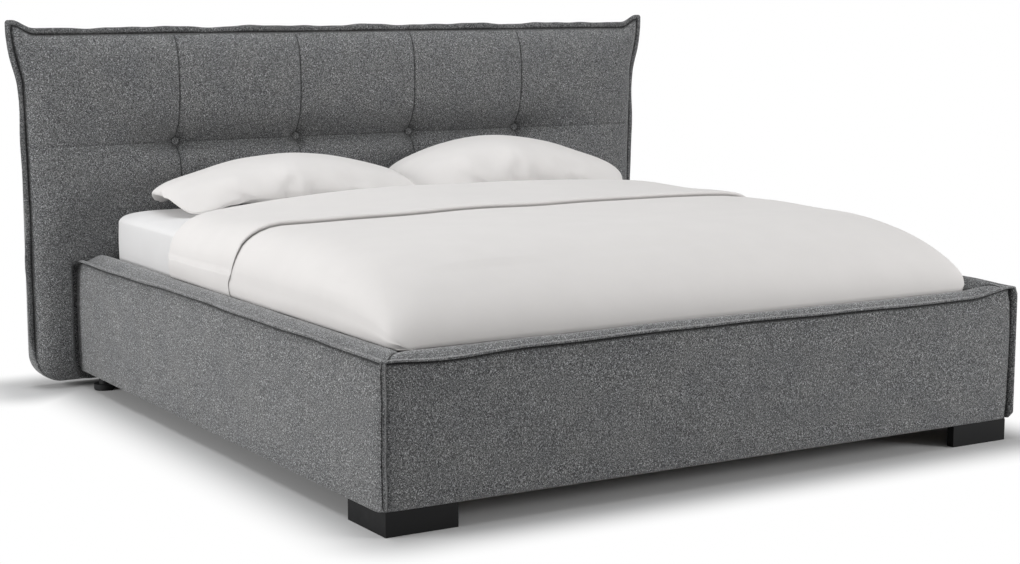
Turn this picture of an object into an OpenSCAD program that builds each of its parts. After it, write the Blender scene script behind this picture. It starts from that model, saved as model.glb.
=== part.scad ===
// Upholstered headboard bed for a 180 x 200 mattress, with its slat bases and bedding.
// X runs across the bed, the foot end points to -Y, the headboard stands at +Y, Z is up.
// The origin lies on the floor under the middle of the whole bed. Sizes are in millimetres.

/* [Mattress] */
// Width of the mattress
mattress_w = 1800; // [1600:10:1900]
// Length of the mattress
mattress_l = 2000; // [1900:10:2100]
// Height of the mattress
mattress_h = 200; // [180:5:260]
// Radius of the mattress's upright corners
mattress_corner_r = 80; // [60:5:110]
// Radius of the mattress's long top and bottom edges
mattress_edge_r = 45; // [20:5:55]
// Thickness of the fitted sheet
sheet_t = 1.2; // [1:0.1:2]
// How far the fitted sheet's hem turns in under the mattress
sheet_hem = 60; // [50:5:90]
// Air between soft pieces that rest on each other
soft_gap = 0.4; // [0.3:0.1:1]

/* [Rails] */
// Gap between the mattress and each side rail
side_gap = 20; // [10:1:40]
// Gap between the mattress and the foot rail
foot_gap = 20; // [15:1:40]
// Gap between the mattress and the headboard's crown
head_gap = 2.5; // [1:0.5:10]
// How far the rails stop short of the headboard's crown
rail_short = 17.5; // [0:0.5:25]
// Width of an upholstered rail without its seam flange
rail_w = 95; // [80:1:130]
// Height of an upholstered rail
rail_h = 367; // [340:1:420]
// Height of the rails' undersides above the floor
rail_clear = 62; // [50:1:90]
// Padding over a rail's outer face
pad_out = 12; // [8:1:16]
// Padding over a rail's top
pad_top = 26; // [15:1:40]
// Fabric thickness on a rail's inner face and underside
cover_t = 3; // [2:0.5:5]
// Thickness of the rail boards
board_t = 16; // [12:1:20]
// Radius of a rail's top inner edge
rail_inner_r = 24; // [10:1:25]
// Radius of a rail's top outer edge under the flange
rail_outer_r = 6; // [3:1:10]
// Radius of a rail's bottom outer edge
rail_bottom_r = 11; // [5:1:11]

/* [Seam flanges] */
// How far a rail's seam flange stands out
flange_reach = 10; // [6:1:14]
// Thickness of a seam flange
flange_t = 7; // [4:0.5:9]
// Height of the seam flange's upper face over the rail's top
flange_rise = 3; // [1:0.5:5]
// Thickness of the upright flange at a foot corner
corner_flange_t = 5; // [3:0.5:7]
// How much the corner flange stops short of the rail's underside
corner_flange_stop = 10; // [5:1:30]

/* [Headboard] */
// How far the headboard's cushion runs past the rails' faces at each side
headboard_over = 148; // [140:1:180]
// Height of the headboard's top edge inside its seam flange
headboard_top = 1150; // [1100:5:1200]
// Height of the headboard's underside above the floor
headboard_clear = 22; // [15:1:30]
// Radius of the headboard's bottom corners
headboard_corner_r = 90; // [70:5:110]
// How far the cushion's crown swells in front of its edge
crown = 45; // [35:1:60]
// Foam behind the cushion's seam flange, down to the panel
edge_foam = 18; // [12:1:25]
// Thickness of the headboard panel
panel_t = 16; // [12:1:20]
// Depth of the battens behind the panel
batten_d = 45; // [35:1:60]
// Width of the battens behind the panel
batten_w = 60; // [45:1:80]
// Thickness of the padded border strips
border_t = 12; // [8:1:20]
// Thickness of the dust cloth on the back
back_cloth_t = 1; // [0.8:0.1:2]
// Reach of the headboard's seam flange beyond the cushion
board_flange_reach = 20; // [15:1:25]
// Sideways reach of the pointed ears beyond that flange
ear_out = 26; // [10:1:35]
// Upward reach of the pointed ears beyond that flange
ear_up = 34; // [10:1:40]
// Length of each ear's slope along the top and the side
ear_run = 130; // [80:5:200]
// Height of the lower seam across the headboard
lower_seam_z = 430; // [400:5:440]
// Height of the seam that the buttons sit in
button_z = 793; // [740:1:840]
// Distance between neighbouring upright seams
seam_pitch = 441; // [400:1:460]
// Number of upright seams and buttons
seam_count = 4; // [2:1:5]
// Depth of the groove that a seam pulls into the cushion
seam_groove = 10; // [6:1:18]
// Depth of the dimple that a button pulls into the cushion
button_dimple = 33; // [20:1:40]
// Diameter of a button
button_d = 26; // [20:1:34]
// Thickness of a button at its rim
button_rim = 4; // [3:0.5:6]
// Height of a button's dome over its rim
button_dome = 4; // [2:0.5:6]

/* [Feet] */
// Length of a corner leg's board along the foot rail, and along the side rail
leg_l = 200; // [150:5:240]
// Thickness of the corner leg's boards
leg_t = 25; // [20:1:30]
// Inset of the corner legs from the rails' faces
leg_inset = 2; // [1:1:5]
// Diameter of a round levelling foot
foot_d = 67; // [50:1:80]
// Thickness of a round levelling foot
foot_t = 20; // [12:1:25]
// Diameter of the sleeve over a round foot
sleeve_d = 34; // [28:1:45]
// Diameter of a levelling foot's threaded stem
stem_d = 10; // [8:1:12]
// Running clearance round a stem
stem_fit = 0.05; // [0.03:0.01:0.1]
// Length of a levelling stem inside its sleeve
stem_l = 38; // [25:1:39]
// Distance of the round feet from the head ends of the side rails
foot_back = 38; // [35:1:60]

/* [Slat bases] */
// Thickness of the slat bases' timber bars
bar_t = 25; // [20:1:35]
// Height of the slat bases' timber bars
bar_h = 40; // [30:1:50]
// Height of a slat holder
holder_h = 20; // [16:1:26]
// Length of a slat holder across the bed
holder_l = 50; // [40:1:60]
// Width of a slat
slat_w = 55; // [45:1:65]
// Thickness of a slat
slat_t = 8; // [6:1:10]
// How far a slat's middle bows above its ends
slat_bow = 7; // [4:0.5:8]
// Number of slats in each base
slat_count = 14; // [10:1:16]
// Distance of each slat base from its neighbours
base_gap = 5; // [2:1:10]
// Width of the ledgers under the slat bases
ledger_w = 40; // [35:1:50]
// Height of the ledgers
ledger_h = 40; // [25:1:50]

/* [Centre support] */
// Width of the centre beam
beam_w = 60; // [50:1:90]
// Height of the centre beam
beam_h = 60; // [45:1:90]
// Thickness of the head cross bar
bar_head_t = 40; // [25:1:45]
// Height of the head cross bar
bar_head_h = 100; // [80:1:120]
// Diameter of a centre leg
centre_leg_d = 50; // [35:1:60]
// Share of the sleeping length between a centre leg and the nearer end
centre_leg_share = 0.33; // [0.25:0.01:0.4]

/* [Fasteners] */
// Thickness of the steel brackets
steel_t = 4; // [3:0.5:5]
// Width of a steel bracket's flanges
bracket_w = 56; // [45:1:65]
// Height of the headboard brackets
bracket_h = 130; // [100:5:140]
// Diameter of the bolts
bolt_d = 8; // [6:1:10]
// Diameter of the bolt heads
bolt_head_d = 14; // [12:1:18]
// Thickness of the bolt heads
bolt_head_t = 4; // [3:0.5:5]
// Side of the square corner blocks at the foot end
block_w = 60; // [50:1:80]
// Width of the spacer blocks between the rails and the headboard
spacer_w = 170; // [120:5:190]

/* [Bedding] */
// Thickness of the duvet on top of the mattress
duvet_top_t = 46; // [30:1:80]
// Thickness of the duvet where it hangs over the sides
duvet_side_t = 35; // [25:1:45]
// Extra thickness where the duvet's head end is turned back
duvet_fold_t = 20; // [10:1:30]
// Radius of the duvet's long top edges
duvet_edge_r = 85; // [50:5:90]
// Radius of the duvet's upright corners at the foot
duvet_corner_r = 125; // [115:5:150]
// Air between the duvet's foot and the foot rail
duvet_foot_gap = 1; // [0.5:0.5:5]
// Distance from the foot end to the turned-back edge
duvet_turn_y = 1090; // [1000:10:1200]
// Distance from the mattress's head end to the duvet's head end
duvet_head_room = 580; // [560:5:680]
// Width of a pillow
pillow_w = 850; // [700:10:880]
// Depth of a pillow
pillow_l = 460; // [400:5:480]
// Thickness of a pillow
pillow_h = 160; // [100:5:170]
// Gap between the two pillows
pillow_gap = 16; // [8:1:40]
// Gap between the pillows and the headboard's crown
pillow_back = 50; // [10:2:60]

/* [Hidden] */

LEFT = -1;
RIGHT = 1;
$fn = 48;
hull_fn = 32;

// Widths, from the middle of the bed
inner_x = mattress_w / 2 + side_gap;
face_x = inner_x + rail_w;
board_x = face_x + headboard_over;
seam_x = [for (i = [0 : seam_count - 1]) (i - (seam_count - 1) / 2) * seam_pitch];

// Lengths, from the foot end's outermost point
foot_face = flange_reach;
foot_inner = foot_face + rail_w;
mattress_foot = foot_inner + foot_gap;
mattress_head = mattress_foot + mattress_l;
crown_front = mattress_head + head_gap;
rail_end = crown_front - rail_short;
cushion_edge = crown_front + crown;
panel_front = cushion_edge + edge_foam;
batten_front = panel_front + panel_t;
batten_back = batten_front + batten_d;
overall_l = batten_back + back_cloth_t;
foot_y = -overall_l / 2;

// Heights, from the floor
rail_top = rail_clear + rail_h;
slat_frame_z = rail_top - 94;
holder_z = slat_frame_z + bar_h;
mattress_z = holder_z + holder_h + soft_gap;
mattress_top = mattress_z + mattress_h;
ledger_z = slat_frame_z - ledger_h;
beam_z = slat_frame_z - beam_h;
duvet_z = rail_top + flange_rise / 2;
duvet_head_y = mattress_head - duvet_head_room;
sheet_top = mattress_top + sheet_t;

// The rails' timber box inside its padding
core_z = cover_t;
core_h = rail_h - pad_top - cover_t;
core_w = rail_w - pad_out - cover_t;

// Lengths of cuts that run well past what they cut
past = 1;
cut_far = 4000;

fabric_grey = [0.30, 0.32, 0.34];
fabric_dark = [0.22, 0.24, 0.26];
timber = [0.78, 0.62, 0.42];
steel = [0.55, 0.56, 0.58];
black = [0.05, 0.05, 0.055];
linen = [0.90, 0.89, 0.88];

// Places children at a distance y from the foot end.
module from_foot(y) { translate([0, foot_y + y, 0]) children(); }

// A block given by its low and high corners, with y counted from the foot end.
module block(low, high) {
    translate([low[0], foot_y + low[1], low[2]]) cube([high[0] - low[0], high[1] - low[1], high[2] - low[2]]);
}

// The same block on the side of the bed that s names: x counts outwards from the middle.
module side_block(s, low, high) {
    if (s > 0) block(low, high);
    else block([-high[0], low[1], low[2]], [-low[0], high[1], high[2]]);
}

// ---- Rails ----------------------------------------------------------------------------------

// What a square corner loses when it is rounded, for a corner that points to +X and +Y.
module corner_waste(r) {
    difference() {
        square([r + past, r + past]);
        circle(r);
    }
}

// Cross-section of a rail's upholstery: x from the inner face outwards, y up from the underside.
module rail_outline() {
    difference() {
        square([rail_w, rail_h]);
        translate([rail_w - rail_outer_r, rail_h - rail_outer_r]) corner_waste(rail_outer_r);
        translate([rail_inner_r, rail_h - rail_inner_r]) mirror([1, 0]) corner_waste(rail_inner_r);
        translate([rail_w - rail_bottom_r, rail_bottom_r]) mirror([0, 1]) corner_waste(rail_bottom_r);
    }
}

// The upholstery's cross-section with the timber box left out.
module padding_outline() {
    difference() {
        rail_outline();
        translate([cover_t, core_z]) square([core_w, core_h]);
    }
}

// Stands a cross-section up and runs it along a side rail, from y0 to y1.
module along_side(s, y0, y1) {
    translate([s * inner_x, foot_y + y1, rail_clear]) mirror([s > 0 ? 0 : 1, 0, 0])
        rotate([90, 0, 0]) linear_extrude(y1 - y0) children();
}

// Stands a cross-section up and runs it along the foot rail, across the bed.
module along_foot(half) {
    translate([half, foot_y + foot_inner, rail_clear]) rotate([0, 0, -90])
        rotate([90, 0, 0]) linear_extrude(2 * half) children();
}

// The part of the plan outside the mitre at one foot corner: what belongs to the foot rail.
module foot_side_of_mitre(s) {
    translate([s * face_x, foot_y + foot_face, 0]) mirror([s > 0 ? 0 : 1, 0, 0])
        linear_extrude(rail_top + past)
            polygon([[0, 0], [-cut_far, cut_far], [-cut_far, -cut_far], [0, -cut_far]]);
}

module side_padding(s) {
    color(fabric_grey) difference() {
        along_side(s, foot_face, rail_end) padding_outline();
        foot_side_of_mitre(s);
        leg_bolt_holes();
        bracket_holes(s);
        stem_room(s);
    }
}

module foot_rail_padding() {
    color(fabric_grey) difference() {
        intersection() {
            along_foot(face_x) padding_outline();
            foot_side_of_mitre(LEFT);
            foot_side_of_mitre(RIGHT);
        }
        leg_bolt_holes();
        corner_bolt_shafts();
    }
}

// The side rails' boards stop at the foot rail's outer board.
side_core_foot = foot_face + pad_out + board_t;
core_out = core_w + cover_t;

module side_outer_board(s) {
    color(timber) difference() {
        side_block(s, [inner_x + core_out - board_t, side_core_foot, rail_clear + core_z],
                   [inner_x + core_out, rail_end, rail_clear + core_z + core_h]);
        leg_bolt_holes();
    }
}

module side_inner_board(s) {
    color(timber) difference() {
        side_block(s, [inner_x + cover_t, foot_inner - cover_t - board_t, rail_clear + core_z],
                   [inner_x + cover_t + board_t, rail_end, rail_clear + core_z + core_h]);
        bracket_holes(s);
    }
}

// Top and bottom battens of a side rail: they keep its two boards apart.
module side_battens(s) {
    color(timber) difference() {
        for (z = [rail_clear + core_z, rail_clear + core_z + core_h - board_t])
            side_block(s, [inner_x + cover_t + board_t, foot_inner, z],
                       [inner_x + core_out - board_t, rail_end, z + board_t]);
        stem_room(s);
    }
}

module foot_rail_outer_board() {
    color(timber) difference() {
        block([-inner_x - core_out, foot_face + pad_out, rail_clear + core_z],
              [inner_x + core_out, side_core_foot, rail_clear + core_z + core_h]);
        leg_bolt_holes();
    }
}

module foot_rail_inner_board() {
    color(timber) difference() {
        block([-inner_x - cover_t, foot_inner - cover_t - board_t, rail_clear + core_z],
              [inner_x + cover_t, foot_inner - cover_t, rail_clear + core_z + core_h]);
        corner_bolt_shafts();
    }
}

module foot_rail_battens() {
    color(timber)
        for (z = [rail_clear + core_z, rail_clear + core_z + core_h - board_t])
            block([-inner_x, side_core_foot, z], [inner_x, foot_inner - cover_t - board_t, z + board_t]);
}

// ---- Seam flanges on the rails --------------------------------------------------------------

// Cross-section of the rolled flange that stands out over a rail's outer top edge.
flange_z = rail_top + flange_rise - flange_t;
module flange_outline() {
    translate([rail_w, flange_z - rail_clear]) {
        square([flange_reach - flange_t / 2, flange_t]);
        translate([flange_reach - flange_t / 2, flange_t / 2]) circle(d = flange_t);
    }
    translate([rail_w - rail_outer_r, rail_h]) square([rail_outer_r, flange_rise]);
}

module side_seam_flange(s) {
    color(fabric_dark) difference() {
        along_side(s, 0, rail_end) flange_outline();
        translate([0, 0, flange_rise]) foot_side_of_mitre(s);
    }
}

module foot_rail_seam_flange() {
    color(fabric_dark) intersection() {
        along_foot(face_x + flange_reach) flange_outline();
        translate([0, 0, flange_rise]) foot_side_of_mitre(LEFT);
        translate([0, 0, flange_rise]) foot_side_of_mitre(RIGHT);
    }
}

// Upright flange that stands out at 45 degrees from a foot corner of the rails.
module corner_flange(s) {
    diagonal = sqrt(2) * flange_reach - corner_flange_t / 2;
    color(fabric_dark) translate([s * face_x, foot_y + foot_face, 0]) rotate([0, 0, s > 0 ? -45 : -135])
        translate([0, -corner_flange_t / 2, rail_clear + corner_flange_stop])
            difference() {
                cube([diagonal, corner_flange_t, flange_z - rail_clear - corner_flange_stop]);
                translate([0, corner_flange_t / 2, 0]) rotate([0, 0, 45])
                    translate([-cut_far, -cut_far, -past]) cube([cut_far, cut_far, rail_top]);
            }
}

// ---- Corner blocks, legs and their bolts ----------------------------------------------------

block_in = foot_inner;
block_h = ledger_z - rail_clear - core_z;

// Square timber blocks in the two inner foot corners, screwed to both rails.
module corner_blocks() {
    color(timber) difference() {
        for (s = [LEFT, RIGHT])
            side_block(s, [inner_x - block_w, block_in, ledger_z - block_h + core_z],
                       [inner_x, block_in + block_w, ledger_z]);
        corner_bolt_shafts();
    }
}

// Bolts through the corner blocks into the foot rail's inner board.
corner_bolt_reach = cover_t + board_t;
module corner_bolt_places() {
    for (s = [LEFT, RIGHT], share = [0.3, 0.7])
        translate([s * (inner_x - block_w / 2), foot_y + block_in + block_w, rail_clear + share * block_h])
            rotate([90, 0, 0]) children();
}
module corner_bolt_shafts() { corner_bolt_places() cylinder(d = bolt_d, h = block_w + corner_bolt_reach); }
module corner_bolts() {
    color(steel) {
        corner_bolt_shafts();
        corner_bolt_places() mirror([0, 0, 1]) cylinder(d = bolt_head_d, h = bolt_head_t);
    }
}

// An L of two thin boards that stand under the rails' outer boards.
leg_x = face_x - leg_inset;
leg_y = foot_face + leg_inset;
module corner_leg(s) {
    color(black) difference() {
        union() {
            side_block(s, [leg_x - leg_l, leg_y, 0], [leg_x, leg_y + leg_t, rail_clear]);
            side_block(s, [leg_x - leg_t, leg_y, 0], [leg_x, leg_y + leg_l, rail_clear]);
        }
        leg_bolt_holes();
    }
}

// Headless bolts that go up from each leg into the outer boards.
leg_bolt_half = rail_clear / 2;
board_mid = pad_out + board_t / 2;
module leg_bolt_places() {
    for (s = [LEFT, RIGHT], share = [0.4, 0.8]) {
        translate([s * (leg_x - share * leg_l), foot_y + foot_face + board_mid, rail_clear]) children();
        translate([s * (face_x - board_mid), foot_y + leg_y + share * leg_l, rail_clear]) children();
    }
}
module leg_bolt_holes() {
    leg_bolt_places() translate([0, 0, -leg_bolt_half]) cylinder(d = bolt_d, h = 2 * leg_bolt_half);
}
module leg_bolts() { color(steel) leg_bolt_holes(); }

// ---- Round feet at the head ends ------------------------------------------------------------

head_foot_x = inner_x + rail_w / 2;
head_foot_y = rail_end - foot_back;

// Places children at one round foot: under a side rail.
module at_head_foot(s) { translate([s * head_foot_x, foot_y + head_foot_y, 0]) children(); }

// Room for the stem inside the rail's bottom batten and cover.
stem_air = 1;
module stem_room(s) {
    at_head_foot(s) translate([0, 0, rail_clear - past])
        cylinder(d = stem_d + 2 * stem_air, h = board_t + 2 * cover_t + past);
}

// A sleeve from z0 to z1 with a bore for a levelling stem.
module sleeve(d, z0, z1) {
    difference() {
        translate([0, 0, z0]) cylinder(d = d, h = z1 - z0);
        translate([0, 0, z0 - past]) cylinder(d = stem_d + 2 * stem_fit, h = z1 - z0 + 2 * past);
    }
}

// A round foot with its stem.
module levelling_foot(d, t) {
    edge = t / 5;
    cylinder(d1 = d - edge, d2 = d, h = edge);
    translate([0, 0, edge]) cylinder(d = d, h = t - edge);
    translate([0, 0, t - past]) cylinder(d = stem_d, h = stem_l + past);
}

module head_foot_sleeves() {
    color(black) for (s = [LEFT, RIGHT]) at_head_foot(s) sleeve(sleeve_d, foot_t, rail_clear);
}
module head_foot(s) { color(black) at_head_foot(s) levelling_foot(foot_d, foot_t); }

// ---- Ledgers, beam and centre legs ----------------------------------------------------------

module ledger(s) {
    color(timber)
        side_block(s, [inner_x - ledger_w, block_in, ledger_z], [inner_x, bar_head_y, slat_frame_z]);
}

bar_head_y = rail_end - bar_head_t - steel_t;
module head_cross_bar() {
    color(timber)
        block([-inner_x, bar_head_y, slat_frame_z - bar_head_h],
              [inner_x, bar_head_y + bar_head_t, slat_frame_z]);
}

module centre_beam() {
    color(timber) block([-beam_w / 2, foot_inner, beam_z], [beam_w / 2, bar_head_y, slat_frame_z]);
}

// Steel shoes that carry the beam's two ends: a plate on the rail and a shelf under the beam.
module centre_beam_brackets() {
    color(steel) {
        beam_shoe(foot_inner, foot_inner + steel_t, foot_inner + bracket_w);
        beam_shoe(bar_head_y - steel_t, bar_head_y, bar_head_y - bracket_w);
    }
}
module beam_shoe(plate_low, plate_high, shelf_end) {
    block([-beam_w / 2, plate_low, beam_z - steel_t - beam_w / 2],
          [beam_w / 2, plate_high, beam_z - steel_t]);
    block([-beam_w / 2, min(plate_low, shelf_end), beam_z - steel_t],
          [beam_w / 2, max(plate_high, shelf_end), beam_z]);
}

centre_leg_y = [mattress_foot + centre_leg_share * mattress_l, mattress_head - centre_leg_share * mattress_l];
module centre_legs() {
    color(black) for (y = centre_leg_y) from_foot(y) {
        sleeve(centre_leg_d, foot_t, foot_t + stem_l);
        translate([0, 0, foot_t + stem_l]) cylinder(d = centre_leg_d, h = beam_z - foot_t - stem_l);
    }
}
module centre_glide(y) { color(black) from_foot(y) levelling_foot(centre_leg_d, foot_t); }

// ---- Slat bases -----------------------------------------------------------------------------

base_in = base_gap / 2;
base_out = inner_x - side_gap / 2;
base_foot = foot_inner + base_gap;
base_head = rail_end - base_gap;
slat_pitch = (base_head - base_foot - 2 * bar_t - slat_w) / (slat_count - 1);
slat_y = [for (i = [0 : slat_count - 1]) base_foot + bar_t + slat_w / 2 + i * slat_pitch];
slat_mid_z = holder_z + holder_h / 2 - slat_bow / 2;
slat_in_holder = holder_l / 2;

module slat_frame(s) {
    color(timber) {
        side_block(s, [base_in, base_foot, slat_frame_z], [base_in + bar_t, base_head, holder_z]);
        side_block(s, [base_out - bar_t, base_foot, slat_frame_z], [base_out, base_head, holder_z]);
        for (y = [base_foot, base_head - bar_t])
            side_block(s, [base_in + bar_t, y, slat_frame_z], [base_out - bar_t, y + bar_t, holder_z]);
    }
}

// A slat's arc in the XZ plane, from one holder's pocket to the other.
slat_from = base_in + slat_in_holder;
slat_to = base_out - slat_in_holder;
arc_steps = 16;
function slat_rise(t) = slat_bow * (1 - pow(2 * t - 1, 2));
function slat_line(lift, from, to) =
    [for (i = [from : (to > from ? 1 : -1) : to]) let (t = i / arc_steps)
        [slat_from + t * (slat_to - slat_from), slat_mid_z - slat_t / 2 + lift + slat_rise(t)]];

module slats(s) {
    color(timber) for (y = slat_y)
        translate([0, foot_y + y + slat_w / 2, 0]) mirror([s > 0 ? 0 : 1, 0, 0]) rotate([90, 0, 0])
            linear_extrude(slat_w)
                polygon(concat(slat_line(0, 0, arc_steps), slat_line(slat_t, arc_steps, 0)));
}

// Rubber pockets on the frame's long bars: each holds one end of a slat.
holder_wall = 4;
pocket_play = 1;
pocket_h = slat_t + pocket_play;
module slat_holders(s) {
    color(black) for (y = slat_y) {
        slat_holder(s, y, base_in, slat_from);
        slat_holder(s, y, base_out - holder_l, slat_to - slat_in_holder);
    }
}
module slat_holder(s, y, x, pocket_x) {
    difference() {
        side_block(s, [x, y - slat_w / 2 - holder_wall, holder_z],
                   [x + holder_l, y + slat_w / 2 + holder_wall, holder_z + holder_h]);
        side_block(s, [pocket_x, y - slat_w / 2, slat_mid_z - slat_t / 2],
                   [pocket_x + slat_in_holder, y + slat_w / 2, slat_mid_z - slat_t / 2 + pocket_h]);
    }
}

// ---- Headboard ------------------------------------------------------------------------------

// The headboard's front outline, drawn in from its edge by an inset: x across, y up.
module board_outline(inset) {
    r = headboard_corner_r - inset;
    low = headboard_clear + inset;
    difference() {
        translate([-board_x + inset, low]) square([2 * (board_x - inset), headboard_top - inset - low]);
        for (m = [0, 1]) mirror([m, 0])
            translate([board_x - inset - r, low + r]) mirror([0, 1]) corner_waste(r);
    }
}

// Stands an outline up across the bed, with its front at y0 and its back at y1.
module across(y0, y1) {
    translate([0, foot_y + y1, 0]) rotate([90, 0, 0]) linear_extrude(y1 - y0) children();
}

module headboard_panel() {
    color(timber) difference() {
        across(panel_front, batten_front) board_outline(border_t);
        headboard_bolt_shafts();
    }
}

post_in = board_x - border_t - batten_w;
post_low = headboard_clear + headboard_corner_r;
post_top = headboard_top - border_t;
post_mid = seam_pitch;
module headboard_uprights() {
    color(timber) difference() {
        for (s = [LEFT, RIGHT], x = [post_mid, post_in])
            side_block(s, [x, batten_front, post_low], [x + batten_w, batten_back, post_top]);
        headboard_bolt_shafts();
    }
}

// Short battens between the uprights, at the top and at the bottom.
batten_low_z = headboard_clear + border_t;
module headboard_cross_battens() {
    color(timber) {
        for (z = [post_low, post_top - batten_w]) {
            block([-post_mid, batten_front, z], [post_mid, batten_back, z + batten_w]);
            for (s = [LEFT, RIGHT])
                side_block(s, [post_mid + batten_w, batten_front, z], [post_in, batten_back, z + batten_w]);
        }
        block([-post_in, batten_front, batten_low_z], [post_in, batten_back, post_low]);
    }
}

module headboard_back_cloth() {
    color(black) across(batten_back, overall_l) board_outline(border_t);
}

// Padded strips that close the headboard's sides and top behind its front cushion.
module headboard_border() {
    strip_low = headboard_clear + headboard_corner_r;
    color(fabric_grey) {
        for (s = [LEFT, RIGHT])
            side_block(s, [board_x - border_t, panel_front, strip_low],
                       [board_x, batten_back, headboard_top]);
        block([-board_x + border_t, panel_front, post_top], [board_x - border_t, batten_back, headboard_top]);
    }
}

// The doubled fabric flange round the sides and the top, with its two pointed ears.
flange_x = board_x + board_flange_reach;
flange_top = headboard_top + board_flange_reach;
module headboard_seam_flange() {
    tip = [flange_x + ear_out, flange_top + ear_up];
    half = [[flange_x, post_low], [flange_x, flange_top - ear_run], tip, [flange_x - ear_run, flange_top]];
    color(fabric_dark) across(cushion_edge - flange_t / 2, cushion_edge + flange_t / 2) difference() {
        polygon(concat(half, [for (i = [3 : -1 : 0]) [-half[i][0], half[i][1]]]));
        translate([-board_x, 0]) square([2 * board_x, headboard_top]);
    }
}

// Height of the front cushion over its edge, from 0 at the rim to 1 on the open crown.
rim_power = 8;
function dome(t) = 1 - pow(abs(t), rim_power);
function near(d, width) = exp(-pow(d / width, 2));
function seam_pull(x, z) =
    max([for (c = seam_x) near(x - c, seam_width)]) * (z > button_z - seam_reach ? 1 : 0);
function button_pull(x, z) =
    max([for (c = seam_x) near(max(0, norm([x - c, z - button_z]) - button_d), dimple_width)]);
seam_width = 30;
dimple_width = 60;
seam_reach = 250;
cushion_mid = (headboard_top + lower_seam_z) / 2;
cushion_half = (headboard_top - lower_seam_z) / 2;
function cushion_y(x, z) =
    cushion_edge - max(0, dome(x / board_x) * dome((z - cushion_mid) / cushion_half) * crown
        - max(button_dimple * button_pull(x, z),
              seam_groove * max(seam_pull(x, z), near(z - button_z, seam_width))));

// Stations across and up the cushion: closer together at the seams and the rim.
rim_step = 18;
open_steps = 5;
function between(a, b) = [for (i = [1 : open_steps - 1]) a + (b - a) * i / open_steps];
function round_seam(c) = [c - button_d, c - button_d / 2, c, c + button_d / 2, c + button_d];
x_marks = concat([-board_x + rim_step], seam_x, [board_x - rim_step]);
x_stations = concat([-board_x, -board_x + rim_step],
    [for (i = [0 : len(x_marks) - 2]) let (last = len(x_marks) - 2) each concat(
        i == 0 ? [] : round_seam(x_marks[i]),
        between(x_marks[i] + (i == 0 ? 0 : button_d), x_marks[i + 1] - (i == last ? 0 : button_d)))],
    [board_x - rim_step, board_x]);
z_stations = concat([lower_seam_z, lower_seam_z + rim_step],
    between(lower_seam_z + rim_step, button_z - button_d),
    round_seam(button_z), between(button_z + button_d, headboard_top - rim_step),
    [headboard_top - rim_step, headboard_top]);

module headboard_cushion() {
    nx = len(x_stations);
    nz = len(z_stations);
    front = [for (z = z_stations, x = x_stations) [x, foot_y + cushion_y(x, z), z]];
    back = [for (z = z_stations, x = x_stations) [x, foot_y + panel_front, z]];
    n = nx * nz;
    quads = [for (j = [0 : nz - 2], i = [0 : nx - 2]) let (a = j * nx + i) [a, a + 1, a + nx + 1, a + nx]];
    front_faces = [for (q = quads) each [[q[0], q[2], q[1]], [q[0], q[3], q[2]]]];
    rim = concat([for (i = [0 : nx - 1]) i], [for (j = [1 : nz - 1]) j * nx + nx - 1],
        [for (i = [nx - 2 : -1 : 0]) (nz - 1) * nx + i], [for (j = [nz - 2 : -1 : 1]) j * nx]);
    rim_faces = [for (k = [0 : len(rim) - 1]) let (a = rim[k], b = rim[(k + 1) % len(rim)])
        each [[a, b, b + n], [a, b + n, a + n]]];
    middle = [[0, foot_y + panel_front, cushion_mid]];
    back_faces = [for (k = [0 : len(rim) - 1]) [2 * n, rim[k] + n, rim[(k + 1) % len(rim)] + n]];
    color(fabric_grey) polyhedron(concat(front, back, middle), concat(front_faces, rim_faces, back_faces));
}

// Padded fields at both sides of the rails' head ends, below the lower seam.
lower_in = face_x + soft_gap;
module headboard_lower_cushions() {
    swell = 40;
    color(fabric_grey) for (m = [0, 1]) mirror([m, 0, 0]) intersection() {
        hull() {
            across(cushion_edge, panel_front) lower_field(0);
            across(crown_front + crown / 4, panel_front) lower_field(swell / 4);
            across(crown_front, panel_front) lower_field(swell);
        }
        across(0, overall_l) board_outline(0);
    }
}
module lower_field(inset) {
    low = headboard_clear + inset;
    r = headboard_corner_r - inset / 2;
    difference() {
        translate([lower_in, low]) square([board_x - inset - lower_in, lower_seam_z - inset / 2 - low]);
        translate([board_x - inset - r, low + r]) mirror([0, 1]) corner_waste(r);
    }
}

module headboard_lower_pad() {
    color(fabric_grey)
        block([-spacer_in, cushion_edge, batten_low_z], [spacer_in, panel_front, lower_seam_z]);
}

// Timber spacers between the rails' head ends and the panel.
spacer_in = face_x - spacer_w;
spacer_low = rail_clear + core_z;
module headboard_spacer_blocks() {
    color(timber) difference() {
        for (s = [LEFT, RIGHT])
            side_block(s, [spacer_in, rail_end, spacer_low],
                       [face_x - rail_outer_r, panel_front, slat_frame_z]);
        headboard_bolt_shafts();
    }
}

// Domed buttons that sit on the highest place of their dimples' floors.
function button_seat(x) = min([for (dx = [-1, 1], dz = [-1, 1])
    cushion_y(x + dx * button_d / 2, button_z + dz * button_d / 2)]);
module headboard_buttons() {
    dome_r = (pow(button_d / 2, 2) + pow(button_dome, 2)) / (2 * button_dome);
    color(fabric_dark) for (x = seam_x)
        translate([x, foot_y + button_seat(x), button_z]) rotate([90, 0, 0]) {
            cylinder(d = button_d, h = button_rim);
            intersection() {
                translate([0, 0, button_rim + button_dome - dome_r]) sphere(dome_r);
                translate([0, 0, button_rim / 2]) cylinder(d = button_d, h = button_rim + button_dome);
            }
        }
}

module headboard_glides() {
    color(black) for (s = [LEFT, RIGHT])
        translate([s * post_in * 0.8, foot_y + (batten_front + batten_back) / 2, 0])
            cylinder(d = batten_d * 0.8, h = batten_low_z);
}

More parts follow.
